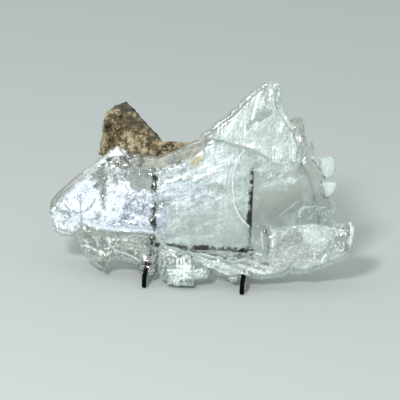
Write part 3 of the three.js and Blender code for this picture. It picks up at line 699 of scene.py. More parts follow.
class SlabField(Field):
    """The slab's front and back height, and its finishes, over a grid in its own plane."""

    def __init__(self, step):
        super().__init__(np.vstack([path(SLAB_OUTLINE), (0, 0)]), step)
        u, v = self.u, self.v
        strips = np.maximum.reduce([zone_mask(name, u, v, fade) for name, fade in (
            ("edge_strip", STRIP_FADE), ("peak_edge", STRIP_FADE), ("bevel", BEVEL_FADE))])
        self.ragged = wandered(u, v, 11, *WANDER, share=1 - STRAIGHTENED * strips)
        self.lined = wandered(u, v, 15, LINE_WANDER)
        self.zone = {name: zone_mask(name, *self.ragged) for name in ZONES}
        self.shape()
        self.relief()
        self.finish()

    def laid(self, sheets):
        """For each sheet: itself, the distance inside it, its top and the drop at its edge."""
        for sheet in sheets:
            away = inside_distance(path(sheet.outline), *self.ragged)
            yield sheet, away, *sheet_height(sheet, away, self.u, self.v)

    def shape(self):
        """Front is the highest of the sheets and bulges at each point, back the lowest."""
        edge = rim = inside_distance(path(SLAB_OUTLINE), *self.ragged)
        rise = np.clip(rim / RIM_RISE, 0, 1)
        front = np.where(rim > 0, RIM_FRONT + (CORE_FRONT - RIM_FRONT) * rise, OUTSIDE)
        back = np.where(rim > 0, RIM_BACK + (CORE_BACK - RIM_BACK) * rise, -OUTSIDE)
        for sheet, away, top, drop in self.laid(FRONT_SHEETS + FLAKES):
            join = SOFT_JOIN if sheet.bevel > WIDE_BEVEL else CRISP_JOIN
            front = soft_most(front, np.where(away > 0, top - drop, OUTSIDE), join)
            under = np.where((away > 0) & (rim <= 0), top - FLAKE_THICKNESS, -OUTSIDE)
            back = np.minimum(back, under)
            edge = np.maximum(edge, away)
        for _, away, top, drop in self.laid(REAR_SHEETS):
            back = soft_least(back, np.where(away > 0, top + drop, -OUTSIDE), REAR_JOIN)
        for bulge in BULGES:
            away = inside_distance(path(bulge.outline), *self.ragged)
            low, high = bulge_heights(bulge, away)
            front = np.maximum(front, np.where(away > 0, high, OUTSIDE))
            back = np.minimum(back, np.where(away > 0, low, -OUTSIDE))
            edge = np.maximum(edge, away)
        self.edge, self.front, self.back = edge, front, back

    def relief(self):
        """Fibres, facets and swells, each in its own zone, laid over both faces."""
        u, v, zone = self.u, self.v, self.zone
        bent = wandered(u, v, 23, FACET_BEND)
        self.coarse, self.fine = shards(*bent, COARSE, 21), shards(*bent, FINE, 22)
        self.cell = shards(*wandered(u, v, 25, CELL_BEND), CELL, 35)
        broken = facet_height(self.coarse, 0.30, 1.1) + facet_height(self.fine, 0.12, 0.08)
        ragged = np.clip(sum(share * zone[name] for name, share in RAGGED.items()), 0, 1)
        for name in SMOOTH:
            ragged = ragged * (1 - SMOOTHED * zone[name])
        form = {name: terraced(fibres(u, v, RUN[name], *ledges[:3]), ledges[3])
                for name, ledges in LEDGES.items()}
        form["lower_right"] = (
            1.2 * blend(0, 4, self.cell.border) + 0.35 * self.cell.level + 0.2 * self.fine.level)
        form["chunk"] = (
            terraced(cloud(u, 0.15 * v, 8, 27, 2), 2) + terraced(cloud(0.15 * u, v, 8, 28, 2), 2))
        body = np.clip(zone["middle"] + zone["low"] + zone["left"], 0, 1)
        brushed = body * (1 - 0.7 * zone["low"]) * (1 - zone["left_smooth"])
        relief = 1.1 * ragged * broken + 0.4 * brushed * form["middle"] + 0.4 * cloud(u, v, 30, 36, 2)
        for name, height in HEIGHTS.items():
            relief = relief + height * zone[name] * form[name]
        rough = np.clip(zone["lower_right"] + zone["lower_left"] + zone["left"], 0, 1)
        rear = (
            0.12 * form["middle"] * body + 0.1 * form["peak"] * zone["peak"]
            + 0.6 * facet_height(shards(*bent, REAR, 38), 0.06, 0.7) * rough
            + 0.5 * blend(0.0, 0.4, fibres(u, v, -8, 90, 26, 39, 2)) * body
        )
        keep = blend(0, RELIEF_EDGE, self.edge)
        swell = 0.28 * cloud(u, v, 30, 37, 2)
        self.back = self.back - keep * ((1 - 0.85 * zone["window"]) * rear + swell)
        self.front = self.front + keep * relief
        for line in DARK_LINES:
            groove = line.strength * hump(line_distance(line.points, u, v), GROOVE_WIDTH)
            self.front = self.front - GROOVE_DEPTH * groove * keep
        self.front = np.maximum(self.front, self.back + LEAST_THICKNESS)

    def patterns(self):
        """The fine structure of each kind of finish, as arrays of mean 0 and spread 1."""
        u, v = self.u, self.v
        grain, dust, fleck = shards(u, v, GRAIN, 47), shards(u, v, DUST, 48), shards(u, v, FLECK, 50)
        puff = cloud(u, v, 7, 43, 4)
        # Painted glints: bright specks, and darker specks, in the broken grains.
        glint = blend(0.5, 0.75, dust.level) - 0.7 * blend(0.6, 0.9, -dust.level)
        broken = grain.level + 0.8 * fleck.level + 1.2 * glint
        upright = fibres(u, v, UPRIGHT - 1, 12, 1.8, 45)
        level = fibres(u, v, LEVEL + 1, 10, 1.6, 49)
        ledges = hump(self.coarse.border - 0.3, 0.55) * blend(-0.6, 0.5, puff)
        loops = hump(self.cell.border - 1.6, 0.6) + 0.7 * hump(self.cell.border - 4.0, 0.5)
        made = {
            "mist": cloud(u, v, 20, 42, 4),
            "silk": 0.6 * fibres(u, v, RUN["middle"], 26, 3.5, 41) + 0.6 * puff
            + 0.6 * fibres(u, v, RUN["middle"] + 10, 9, 1.5, 53, 2)
            + 0.5 * fibres(u, v, UPRIGHT, 9, 1.4, 52, 2) + 0.4 * dust.level,
            "comb": 0.9 * fibres(u, v, RUN["peak"], 14, 1.7, 44) + 0.7 * puff + 0.45 * broken,
            "pillars": upright + 0.5 * broken + 0.4 * puff,
            "leaf": 1.3 * fibres(u, v, RUN["fringe"], 20, 1.6, 46) + 0.4 * broken,
            "crackle": broken + 0.9 * puff,
            "crinkle": 2.4 * ledges + 0.5 * puff + 0.2 * broken,
            "loops": 1.3 * loops + 0.6 * puff + 0.4 * broken,
            "weave": blend(0.1, 0.7, upright + level) * 2 + 0.4 * broken,
        }
        return {name: (p - p.mean()) / p.std() for name, p in made.items()}

    def gaps(self):
        """0 in the clearings and 1 elsewhere, with edges torn across each clearing's run."""
        u, v = self.u, self.v
        ragged = 0.8 * cloud(u, v, 9, 55, 1)
        across, along = fibres(u, v, LEVEL, 8, 2.2, 54, 2), fibres(u, v, UPRIGHT, 8, 2.2, 56, 2)
        veil = 0 * u + 1
        for line in CLEARINGS:
            run, climb = np.abs(line.points[-1] - line.points[0])
            torn = ragged + TORN_EDGE * (across if climb > run else along)
            away = line_distance(line.points, u, v) + torn
            veil *= 1 - line.strength * blend(line.width, 0.7 * line.width, away)
        return veil

    def share(self, amounts):
        """Amounts of a finish in the zones' order, blended one over the other; None skips."""
        total = 0 * self.u
        for mask, amount in zip(self.zone.values(), amounts):
            if amount is not None:
                total = total + mask * (amount - total)
        return total

    def finish(self):
        """Tone, the painted bluish reflection and stain over the face: veil is the tone above 0, smoke
        that below.
        """
        patterns, zones = self.patterns(), ZONES.values()
        tone = PLAIN_TONE + PLAIN_SWING * patterns["mist"]
        for mask, zone in zip(self.zone.values(), zones):
            tone = tone + mask * (zone.tone + zone.swing * patterns[zone.pattern] - tone)
        veil = self.gaps()
        # Painted highlights along the white lines, laid over the veil.
        lit = 0 * tone
        for line in WHITE_LINES:
            glow = hump(line_distance(line.points, *self.lined), line.width)
            lit = np.maximum(lit, line.strength * glow)
        tone = np.maximum(tone * veil, lit)
        # Painted dark along the dark lines: the cracks, and the painted shade at edges.
        for line in DARK_LINES:
            shade = hump(line_distance(line.points, *self.lined), line.width)
            tone = tone - (tone + line.strength) * shade
        smooth = self.zone["edge_strip"] + self.zone["peak_edge"] + self.zone["bevel"]
        rim = (RIM_TONE + STRIP_TONE * np.clip(smooth, 0, 1)) * hump(self.edge, RIM_WIDTH)
        clouded = 0.84 + 0.1 * patterns["silk"] + 0.05 * patterns["crackle"]
        self.values = {
            "tone": np.clip(np.maximum(tone, rim), -1, 1),
            "curtain": self.share(z.curtain for z in zones) * veil * np.clip(clouded, 0.5, 1),
            # Painted reflection: how far the bluish tint of the light lies over each point's white.
            "cool": self.share(z.cool for z in zones),
            "dusk": self.share(z.dusk for z in zones) * (1 - np.clip(lit, 0, 1)),
            "stain": self.zone["stain"] * blend(-0.6, 1.8, patterns["silk"] + patterns["crackle"]),
            "grit": self.share(GRIT[z.pattern] for z in zones) * veil,
            "hatch": self.share(HATCH[z.pattern] for z in zones)
            * (CLEAR_HATCH + (1 - CLEAR_HATCH) * veil),
        }


def cell_corners(grid):
    """The four corners of each cell of a grid, in order round the cell."""
    return grid[:-1, :-1], grid[1:, :-1], grid[1:, 1:], grid[:-1, 1:]


def nearest_inside(values, inside):
    """The mean of a point's inside neighbours, for points just outside."""
    total, weight = np.zeros(values.shape), np.zeros(values.shape)
    for i in (-1, 0, 1):
        for j in (-1, 0, 1):
            total += np.roll(np.where(inside, values, 0.0), (i, j), (0, 1))
            weight += np.roll(inside.astype(float), (i, j), (0, 1))
    return np.where(inside, values, total / np.maximum(weight, 1))


def wall(first, second, before, after, count):
    """Quads that join front and back along grid edges with a cell on one side only."""
    quads = []
    for has, start, end in ((after & ~before, second, first), (before & ~after, first, second)):
        s, e = start[has], end[has]
        quads.append(np.stack([s, e, e + count, s + count], 1))
    return np.concatenate(quads)


def closed_shell(field):
    """Points and quads of a closed body: the grid's front, its back, and a wall round the rim.

    A cell belongs to the body when one of its corners is inside the outline. The third array
    says which grid points are used.
    """
    inside = field.edge > RIM_GRIP * field.step
    cell = np.logical_or.reduce(cell_corners(inside))
    wide = np.pad(cell, 1)
    used = np.logical_or.reduce(cell_corners(wide))
    number = np.cumsum(used).reshape(used.shape) - 1
    count = int(used.sum())
    front, back = nearest_inside(field.front, inside), nearest_inside(field.back, inside)
    middle = (front + back) / 2
    front = np.where(inside, front, np.minimum(front, middle + RIM_HALF))
    back = np.where(inside, back, np.maximum(back, middle - RIM_HALF))
    u, v = field.snapped()
    points = np.concatenate([place(u[used], v[used], face[used]) for face in (front, back)])
    quads = np.stack([corner[cell] for corner in cell_corners(number)], 1)
    return points, np.concatenate([
        quads,
        quads[:, ::-1] + count,
        wall(number[:-1, :], number[1:, :], wide[1:-1, :-1], wide[1:-1, 1:], count),
        wall(number[:, 1:], number[:, :-1], wide[:-1, 1:-1], wide[1:, 1:-1], count),
    ]), used


def add_object(name, data):
    """A new object in the scene."""
    made = bpy.data.objects.new(name, data)
    bpy.context.scene.collection.objects.link(made)
    return made


def mesh_object(name, points, faces, body="root", crease=None):
    """A smooth closed mesh from arrays of points in metres and of faces, riding on a body."""
    mesh = bpy.data.meshes.new(name)
    mesh.from_pydata(points, [], faces, shade_flat=False)
    mesh.validate()
    if crease is not None:
        mesh.set_sharp_from_angle(angle=math.radians(crease))
    piece = add_object(name, mesh)
    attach(piece, body)
    return piece


def add_values(mesh, values):
    """Stores named numbers for the vertices, which a material reads."""
    for name, numbers in values.items():
        layer = mesh.attributes.new(name, "FLOAT", "POINT")
        layer.data.foreach_set("value", np.asarray(numbers, np.float32))


SLAB_CREASE = 28  # degrees between faces, past which an edge is sharp


def slab_piece(settings):
    """The slab: its back's tone is a little weaker, and only its back has the milky curtain."""
    field = SlabField(settings.grid_step / MM)
    points, faces, used = closed_shell(field)
    piece = mesh_object("selenite_slab_cleaved", points, faces, crease=SLAB_CREASE)
    values = {name: np.tile(numbers[used], 2) for name, numbers in field.values.items()}
    count = int(used.sum())
    rear = values["tone"][count:]
    rear *= np.where(rear > 0, BACK_VEIL, BACK_SMOKE)
    values["curtain"][:count] = 0
    add_values(piece.data, values)
    piece.data.materials.append(selenite(settings))
    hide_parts("selenite_slab")


# ---- The matrix: a sandy wedge behind the upper left edge, and the crust that runs from it ----

WEDGE = Bulge("""
    -118,140 -117,152 -115,160 -117,168 -115,181 -105,191 -98,195 -94,195 -83,188 -73,178 -62,168 -54,160
    -50,154 -54,146 -61,142 -67,134 -73,126 -82,131 -90,138 -103,140 -111,136""", -32, 0, 13)
CRUST = Bulge("""
    -66,157 -52,156 -40,157 -30,157 -19,158 -25,153 -35,147 -44,142 -54,138 -66,138""", -17, -3, 7)
DARK_FLANK = "-95,190 -84,184 -74,175 -64,165 -56,157"
FLANK_WIDTH = 15.0
# The wedge's ridge line, along which a line of painted shade runs.
RIDGE = "-98,196 -94,195 -83,188 -73,178 -62,168 -54,160"
RIDGE_WIDTH = 2.0
MATRIX_CREASE = 34  # degrees between faces, past which an edge is sharp
WEDGE_GRID, CRUST_GRID = 0.7, 0.6  # mm between points
WEDGE_ROUGHNESS, CRUST_ROUGHNESS = 1.0, 0.5  # how ragged and lumpy each one is
BLOCK, LUMP = 8.0, 3.2  # mm across
TORN = ((1.5, 8, 3), (0.8, 3, 1))  # of the outline: height and size in mm, octaves
LUMP_BEND = (2.2, 5, 3)

Spot = namedtuple("Spot", "u v radius strength")
DARK_SPOTS = [
    Spot(-110, 167, 5, 0.9), Spot(-96, 178, 3, 0.9), Spot(-105, 153, 3.5, 0.6),
    Spot(-46, 150, 5.5, 0.9), Spot(-40, 153, 4.5, 0.8), Spot(-52, 143, 4.5, 0.8),
]
PALE_SPOTS = [Spot(-53, 155, 7, 0.6), Spot(-20, 156, 8, 1.0), Spot(-86, 183, 5, 0.3)]


def spotted(spots, u, v):
    """How far each point lies in one of the spots, whose edges wander."""
    total = 0 * u
    for spot in spots:
        away = np.hypot(u - spot.u, v - spot.v) + 1.2 * cloud(u, v, 3.5, 73)
        total = np.maximum(total, spot.strength * blend(1.2 * spot.radius, 0.5 * spot.radius, away))
    return total


class LumpField(Field):
    """A crumbly lump: a pillow over a ragged outline, covered in blocks, lumps and grains."""

    def __init__(self, bulge, step, roughness):
        super().__init__(path(bulge.outline), step)
        u, v = self.u, self.v
        to_flank = line_distance(path(DARK_FLANK), u, v)
        torn = roughness * (1 - 0.8 * blend(8, 2, to_flank))
        ragged = wandered(u, v, 61, *TORN, share=torn)
        self.edge = inside_distance(path(bulge.outline), *ragged)
        bent = wandered(u, v, 65, LUMP_BEND)
        blocks, lumps = shards(*bent, BLOCK, 67), shards(*bent, LUMP, 68)
        domed = 1.6 * blend(0, 3.0, blocks.border) + 1.0 * blend(0, 1.3, lumps.border)
        height = (
            1.2 * cloud(u, v, 14, 69) + domed + facet_height(blocks, 0.2, 0.7) + 0.5 * lumps.level)
        flank = blend(FLANK_WIDTH, 0.3 * FLANK_WIDTH, to_flank + 4 * cloud(u, v, 8, 71))
        flank = flank * (bulge is WEDGE)
        keep = roughness * blend(0, RELIEF_EDGE, self.edge) * (1 - 0.6 * flank)
        low, high = bulge_heights(bulge, self.edge)
        self.front = high + keep * (height - 2.4)
        self.back = low - keep * (0.7 * domed - 1.8)
        # Painted shade: the grain is darker in the creases between lumps and between blocks.
        crease_shade = hump(lumps.border, 0.55) + 0.8 * hump(blocks.border, 0.8)
        # Painted shade: a dark line along the wedge's ridge, laid together with the dark spots.
        ridge_shade = 0.8 * hump(line_distance(path(RIDGE), u, v), RIDGE_WIDTH)
        self.values = {
            "grain": np.clip(
                0.62 + 0.2 * lumps.level - 0.35 * crease_shade + 0.35 * cloud(u, v, 8, 70), 0, 1),
            "flank": flank * blend(-0.75, 0.05, cloud(u, v, 4.5, 74)),
            "side": blend(8.0, 2.5, self.edge),
            "dark_spots_and_ridge_shade": np.maximum(spotted(DARK_SPOTS, u, v), ridge_shade),
            "pale": spotted(PALE_SPOTS, u, v),
            "grime": blend(0.2, 1.0, cloud(u, v, 11, 72)),
        }


def matrix_part(name, bulge, step, roughness, settings):
    """One lump of matrix, from a grid of this step in mm."""
    field = LumpField(bulge, step, roughness)
    points, faces, used = closed_shell(field)
    piece = mesh_object(name, points, faces, crease=MATRIX_CREASE)
    add_values(piece.data, {key: np.tile(numbers[used], 2) for key, numbers in field.values.items()})
    piece.data.materials.append(sandy_crust(settings))
    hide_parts("matrix")


# ---- The stand: bent and straight round wire, dipped in black paint ----

ROD_SIDES = 24
BEND_STEPS = 10
DOME_STEPS = 6
STRAIGHT_STEPS = 24
DIP = 0.012  # how much the paint's thickness varies, as a share of the wire's radius
DIP_SCALE = 200  # runs of paint to each metre
OFF_LINE = (0.3, 0.5, 0.81)  # a direction that no wire has


def unit(vectors):
    """Vectors at a length of 1."""
    return vectors / np.linalg.norm(vectors, axis=-1, keepdims=True)


def wire_path(corners, bend):
    """A route through corners, each rounded by a curve that starts "bend" before it."""
    corners = np.array(corners, float)
    route = [corners[0]]
    t = np.linspace(0, 1, BEND_STEPS)[:, None]
    for before, corner, after in zip(corners, corners[1:], corners[2:]):
        start, end = corner + bend * unit(before - corner), corner + bend * unit(after - corner)
        route.extend((1 - t) ** 2 * start + 2 * t * (1 - t) * corner + t * t * end)
    route.append(corners[-1])
    return np.array(route)


def tube_faces(around, rings):
    """Triangles between a tube's rings, and from its end rings to the two tips after them.

    They face outwards when the rings turn to the right as seen along the tube.
    """
    index = np.arange(rings * around).reshape(rings, around)
    right = np.roll(index, -1, 1)
    body = np.stack([index[:-1], index[1:], right[1:], right[:-1]], -1).reshape(-1, 4)
    tip = np.full(around, rings * around)
    return np.concatenate([
        body[:, [2, 1, 0]],
        body[:, [3, 2, 0]],
        np.stack([right[0], index[0], tip], 1),
        np.stack([index[-1], right[-1], tip + 1], 1),
    ])


def wire_piece(name, route, radius, paint):
    """A round section carried along a flat route, with ends domed as half balls."""
    dome = np.sin(np.linspace(0, math.pi / 2, DOME_STEPS + 1))[:-1, None]
    inset, thin = radius * (1 - dome), radius * np.sqrt(1 - dome ** 2)
    tangent = unit(np.gradient(route, axis=0))
    tips = route[[0, -1]]
    inner = np.linalg.norm(route[:, None] - tips, axis=2).min(1) > radius
    start, end = tangent[0], tangent[-1]
    centres = np.concatenate([tips[0] + start * inset[::-1], route[inner], tips[1] - end * inset])
    radii = np.concatenate([thin[::-1], np.full((inner.sum(), 1), radius), thin])
    tangents = np.concatenate([start + 0 * dome, tangent[inner], end + 0 * dome])
    side = np.cross(tangents[len(tangents) // 2], start)
    if np.linalg.norm(side) < 1e-6:
        side = np.cross(start, OFF_LINE)
    side = unit(side)
    other = unit(np.cross(tangents, side))
    angle = np.linspace(0, 2 * math.pi, ROD_SIDES, endpoint=False)
    dip = 1 + DIP * unit_noise(angle[None] * 2, centres.sum(1)[:, None] * DIP_SCALE, 81)
    ring = np.cos(angle)[:, None] * side + np.sin(angle)[:, None] * other[:, None]
    rings = centres[:, None] + ring * (radii * dip)[..., None]
    points = np.concatenate([rings.reshape(-1, 3), tips])
    piece = mesh_object(name + "_wire", points, tube_faces(ROD_SIDES, len(centres)))
    piece.data.materials.append(paint)
    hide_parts(name)


def straight_wire(name, axis, radius, paint):
    """A wire down the middle of its box, along one axis of the frame."""
    low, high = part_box(name)
    ends = np.tile((low + high) / 2, (2, 1))
    ends[:, axis] = low[axis], high[axis]
    wire_piece(name, np.linspace(*ends, STRAIGHT_STEPS), radius, paint)


def stand_pieces(settings):
    """Two arms with feet, two uprights along Z and a cross bar along X, placed by the solids."""
    paint = black_dip(settings)
    for side in ("left", "right"):
        name = f"stand_{side}_arm"
        low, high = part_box(name)
        radius = (high.x - low.x) / 2
        x, top = (low.x + high.x) / 2, high.z - radius
        front, rear = low.y + radius, high.y - radius
        corners = [(x, front, 0), (x, front, top), (x, rear, top), (x, rear, 0)]
        wire_piece(name, wire_path(corners, settings.bend_radius), radius, paint)
        straight_wire(f"stand_{side}_upright", 2, radius, paint)
    straight_wire("stand_cross_bar", 0, radius, paint)


# ---- Materials ----

# Settings of a Mix node that lays a colour, its input 7, over another, its input 6, by a share.
LAID_OVER = dict(data_type="RGBA", out=2)


def linear(colour):
    """An sRGB hex colour as a linear colour with alpha 1."""
    parts = [int(colour[i:i + 2], 16) / 255 for i in (1, 3, 5)]
    return (*[p / 12.92 if p <= 0.04045 else ((p + 0.055) / 1.055) ** 2.4 for p in parts], 1.0)


def node(tree, kind, inputs=(), out=0, **settings):
    """Adds a node with its own settings, and gives back one of its outputs.

    Each input is a value, an sRGB hex colour or an output to link, by its place or its name.
    """
    made = tree.nodes.new("ShaderNode" + kind)
    for name, value in settings.items():
        setattr(made, name, value)
    for key, value in inputs.items() if isinstance(inputs, dict) else enumerate(inputs):
        if isinstance(value, bpy.types.NodeSocket):
            tree.links.new(value, made.inputs[key])
        else:
            made.inputs[key].default_value = linear(value) if isinstance(value, str) else value
    return made.outputs[out] if made.outputs else None


def node_adder(block):
    """The function that adds nodes to a material or a world, whose nodes are cleared first."""
    block.use_nodes = True
    block.node_tree.nodes.clear()
    return partial(node, block.node_tree)


def new_material(name):
    """An empty material and the function that adds nodes to it."""
    material = bpy.data.materials.new(name)
    return material, node_adder(material)


def per_metre(size):
    """The scale that gives a pattern this size in mm."""
    return 1 / (size * MM)


GYPSUM_IOR = 1.52

# In mm along u, out of the face and up it. The real fibres and grains are finer, and are drawn
# as coarse as they need to be to show.
HATCH_SIZE = (1.1, 9.0, 13.0)
GRAIN_SIZE = (1.3, 4.0, 1.3)
SPECK_SIZE = 1.6
SCRATCH_DEPTH = 0.3  # mm


def selenite(settings):
    """Selenite: clear gypsum, IOR 1.52, with milky cleavage veils that scatter light.

    The tone of each point is moved by upright hatching, by fine broken grains and by painted
    glints, bright and dark specks. What lies above 0 is white veil, what lies below it is smoke
    in the clear crystal.
    """
    material, add = new_material("selenite_gypsum")
    position = add("TexCoord", out="Object")
    laid = add("Mapping", {"Vector": position, "Rotation": (-LEAN, 0, 0)})
    hatch, grain = (
        add("TexNoise", {
            "Vector": add("Mapping", {"Vector": laid, "Scale": tuple(map(per_metre, size))}),
            "Scale": 1.0, "Detail": detail, "Roughness": 0.6})
        for size, detail in ((HATCH_SIZE, 2.0), (GRAIN_SIZE, 3.0)))
    specks = add("TexVoronoi", {"Vector": laid, "Scale": per_metre(SPECK_SIZE)}, out="Color")
    base, curtain, cool, dusk, stain, grit, hatching = (
        add("Attribute", attribute_name=name, out="Fac")
        for name in ("tone", "curtain", "cool", "dusk", "stain", "grit", "hatch"))
    streaks = add("MapRange", (hatch, 0.3, 0.7, -0.22, 0.22))
    tone = add("Math", (streaks, hatching, base), operation="MULTIPLY_ADD")
    # Painted glints: bright and dark specks that move the tone.
    white, black = (add("MapRange", (specks, *limits)) for limits in (
        (0.66, 0.72, 0.0, 0.7), (0.26, 0.34, -0.3, 0.0)))
    sparkle = add("Math", (white, black))
    broken = add("Math", (sparkle, add("MapRange", (grain, 0.3, 0.7, -0.18, 0.18))))
    tone = add("Math", (broken, grit, tone), operation="MULTIPLY_ADD")
    veil = add("Math", (tone, curtain), operation="MAXIMUM")
    smoky, covered = add("MapRange", (tone, 0.0, -1.0)), add("MapRange", (veil, 0.0, 0.3))
    # Painted reflection: the bluish tint of the light is laid over the white veil by its share.
    pale = add("Mix", {0: cool, 6: settings.white, 7: settings.cool}, **LAID_OVER)
    pale = add("Mix", {0: dusk, 6: pale, 7: settings.dusk}, **LAID_OVER)
    colour = add("Mix", {0: smoky, 6: settings.clear, 7: settings.smoke}, **LAID_OVER)
    colour = add("Mix", {0: covered, 6: colour, 7: pale}, **LAID_OVER)
    colour = add("Mix", {0: stain, 6: colour, 7: settings.stain}, **LAID_OVER)
    rough = add("MapRange", (veil, 0.1, 1.0, 0.03, 0.4))
    bump = add("Bump", {
        "Strength": add("MapRange", (grit, 0.1, 1.0, 0.02, 0.35)),
        "Distance": SCRATCH_DEPTH * MM, "Height": add("Math", (hatch, grain))})
    shader = add("BsdfPrincipled", {
        "Base Color": colour,
        "Roughness": add("Math", (rough, add("MapRange", (dusk, 0.4, 0.9, 0.0, 0.16)))),
        "Transmission Weight": add("MapRange", (veil, 0.0, 1.0, 1.0, 0.12)),
        "IOR": GYPSUM_IOR, "Normal": bump})
    add("OutputMaterial", {"Surface": shader})
    return material


# In mm; the real sand is finer, and is drawn as coarse as it needs to be to show.
SAND_SIZE, PATCH_SIZE, CRUMB_SIZE = 1.1, 2.8, 4.5
SAND_DEPTH = 0.8


def sandy_crust(settings):
    """Sandy matrix: grains bonded by gypsum, dull and rough, tan with near-black patches.

    Each coat of colour lies over the last by its share, which a pattern may fade.
    """
    material, add = new_material("sandy_matrix")
    position = add("TexCoord", out="Object")
    sand = add("TexVoronoi", {"Vector": position, "Scale": per_metre(SAND_SIZE)}, out="Distance")
    patches, crumbs = (
        add("TexNoise", {"Vector": position, "Scale": per_metre(size), "Detail": detail,
                         "Roughness": roughness, "Distortion": distortion})
        for size, detail, roughness, distortion in (
            (PATCH_SIZE, 5.0, 0.7, 0.0), (CRUMB_SIZE, 6.0, 0.75, 0.8)))
    front, side, pale, grime, flank, dark_spots_and_ridge_shade = (
        add("Attribute", attribute_name=name, out="Fac")
        for name in ("grain", "side", "pale", "grime", "flank", "dark_spots_and_ridge_shade"))
    front = add("Math", (front, add("MapRange", (crumbs, 0.35, 0.65, -0.28, 0.28))))
    flanking = add("MapRange", (crumbs, 0.36, 0.64, 0.1, 0.95))
    grain = add("Mix", {0: side, 2: front, 3: flanking})
    clean, loose = add("MapRange", (grain, 0.25, 0.65)), add("MapRange", (grain, 0.55, 0.85, 0.05, 1.0))
    # Coats laid over the brown crust; the last lays the dark spots and the painted shade along the
    # wedge's ridge.
    colour = settings.brown
    for share, fading, coat in (
        (clean, None, settings.tan),
        (loose, (patches, 0.4, 0.6, 0.3, 1.0), settings.sand),
        (pale, None, settings.honey),
        (grime, (patches, 0.4, 0.6, 0.4, 0.9), settings.grey),
        (flank, (grain, 0.5, 1.0, 1.0, 0.3), settings.dark),
        (dark_spots_and_ridge_shade, (grain, 0.5, 1.0, 1.0, 0.2), settings.dark_spots_and_ridge_shade),
    ):
        if fading:
            share = add("Math", (share, add("MapRange", fading)), operation="MULTIPLY")
        colour = add("Mix", {0: share, 6: colour, 7: coat}, **LAID_OVER)
    bump = add("Bump", {
        "Strength": 0.9, "Distance": SAND_DEPTH * MM, "Height": add("Math", (sand, patches))})
    shader = add("BsdfPrincipled", {
        "Base Color": colour, "Roughness": add("MapRange", (patches, 0.3, 0.7, 0.9, 0.45)),
        "Normal": bump})
    add("OutputMaterial", {"Surface": shader})
    return material


SAG_SIZE, SAG_DEPTH = 4.0, 0.3  # in mm, of the runs in the enamel


def black_dip(settings):
    """Steel wire dipped in black enamel: deep black with a soft, slightly uneven gloss."""
    material, add = new_material("black_dipped_steel")
    position = add("TexCoord", out="Object")
    sag = add("TexNoise", {"Vector": position, "Scale": per_metre(SAG_SIZE), "Detail": 3.0})
    shader = add("BsdfPrincipled", {
        "Base Color": add("Mix", {0: sag, 6: settings.paint, 7: settings.worn}, **LAID_OVER),
        "Roughness": add("MapRange", (sag, 0.3, 0.7, 0.45, 0.6)),
        "Specular IOR Level": 0.03,
        "Normal": add("Bump", {"Strength": 0.25, "Distance": SAG_DEPTH * MM, "Height": sag})})
    add("OutputMaterial", {"Surface": shader})
    return material


def pale_board(colour):
    """Matt painted board for the stage: even and pale, with no gloss."""
    material, add = new_material("matt_board")
    shader = add("BsdfPrincipled", {
        "Base Color": colour, "Roughness": 0.9, "Specular IOR Level": 0.2})
    add("OutputMaterial", {"Surface": shader})
    return material


# ---- Stage: floor, lights, surroundings and camera ----

FRAME_PIXELS = 400
MM_PER_PIXEL = 1.06
CAMERA_AZIMUTH = math.radians(4.5)
CAMERA_ELEVATION = math.radians(21)
CAMERA_ROLL = math.radians(2.2)
CAMERA_DISTANCE = 2.6
CAMERA_REACH = 100.0
AIM = Vector((0, 0, 0.090))  # the point whose pixel is known
AIM_PIXEL = (203.5, 192.1)
SENSOR = 36.0
FLOOR_REACH = 6.0
OVERHEAD_SHARE = 0.15  # of the key light's power

# Azimuth and elevation in degrees, distance and width in metres.
KEY = (-16, 40, 2.6, 0.42)
OVERHEAD = (-70, 66, 3.0, 2.0)


def facing(azimuth, elevation, roll=0):
    """The turn of a camera or a light that looks at the object from these angles, in radians."""
    return (Matrix.Rotation(azimuth, 3, "Z") @ Matrix.Rotation(math.pi / 2 - elevation, 3, "X")
            @ Matrix.Rotation(roll, 3, "Z"))


def moved_back(aim, turn, distance):
    """The place of a camera or a light so turned that looks at a point from a distance."""
    return Matrix.Translation(aim + turn.col[2] * distance) @ turn.to_4x4()


def stage_camera():
    """A long lens at the viewing angle, aimed so that the known point falls on its pixel."""
    turn = facing(CAMERA_AZIMUTH, CAMERA_ELEVATION, CAMERA_ROLL)
    scale = MM_PER_PIXEL * MM
    half = FRAME_PIXELS / 2
    aim = AIM + turn @ Vector((half - AIM_PIXEL[0], AIM_PIXEL[1] - half, 0)) * scale
    data = bpy.data.cameras.new("camera")
    data.sensor_width = SENSOR
    data.lens = SENSOR * CAMERA_DISTANCE / (FRAME_PIXELS * scale)
    data.clip_end = CAMERA_REACH
    camera = add_object("camera", data)
    camera.matrix_world = moved_back(aim, turn, CAMERA_DISTANCE)
    bpy.context.scene.camera = camera


def softbox(name, azimuth, elevation, distance, size, power, colour="#FFFFFF"):
    """A square area light that faces the middle of the object."""
    data = bpy.data.lights.new(name, "AREA")
    data.size = size
    data.energy = power
    data.color = linear(colour)[:3]
    turn = facing(math.radians(azimuth), math.radians(elevation))
    add_object(name, data).matrix_world = moved_back(AIM, turn, distance)


def surroundings(settings):
    """Plain studio air: bright overhead, dimmer towards the horizon and on the viewer's side."""
    world = bpy.data.worlds.new("studio")
    add = node_adder(world)
    ray = add("TexCoord", out="Generated")
    across, height = (add("SeparateXYZ", (ray,), out=axis) for axis in (1, 2))
    lift = add("MapRange", (height, -0.1, 0.7))
    near = add("MapRange", (across, -0.9, 0.1, settings.front_share, 1.0))
    strength = add("Math", (near, settings.sky_strength), operation="MULTIPLY")
    colour = add("Mix", {0: lift, 6: settings.horizon, 7: settings.sky}, **LAID_OVER)
    add("OutputWorld", (add("Background", (colour, strength)),))
    bpy.context.scene.world = world


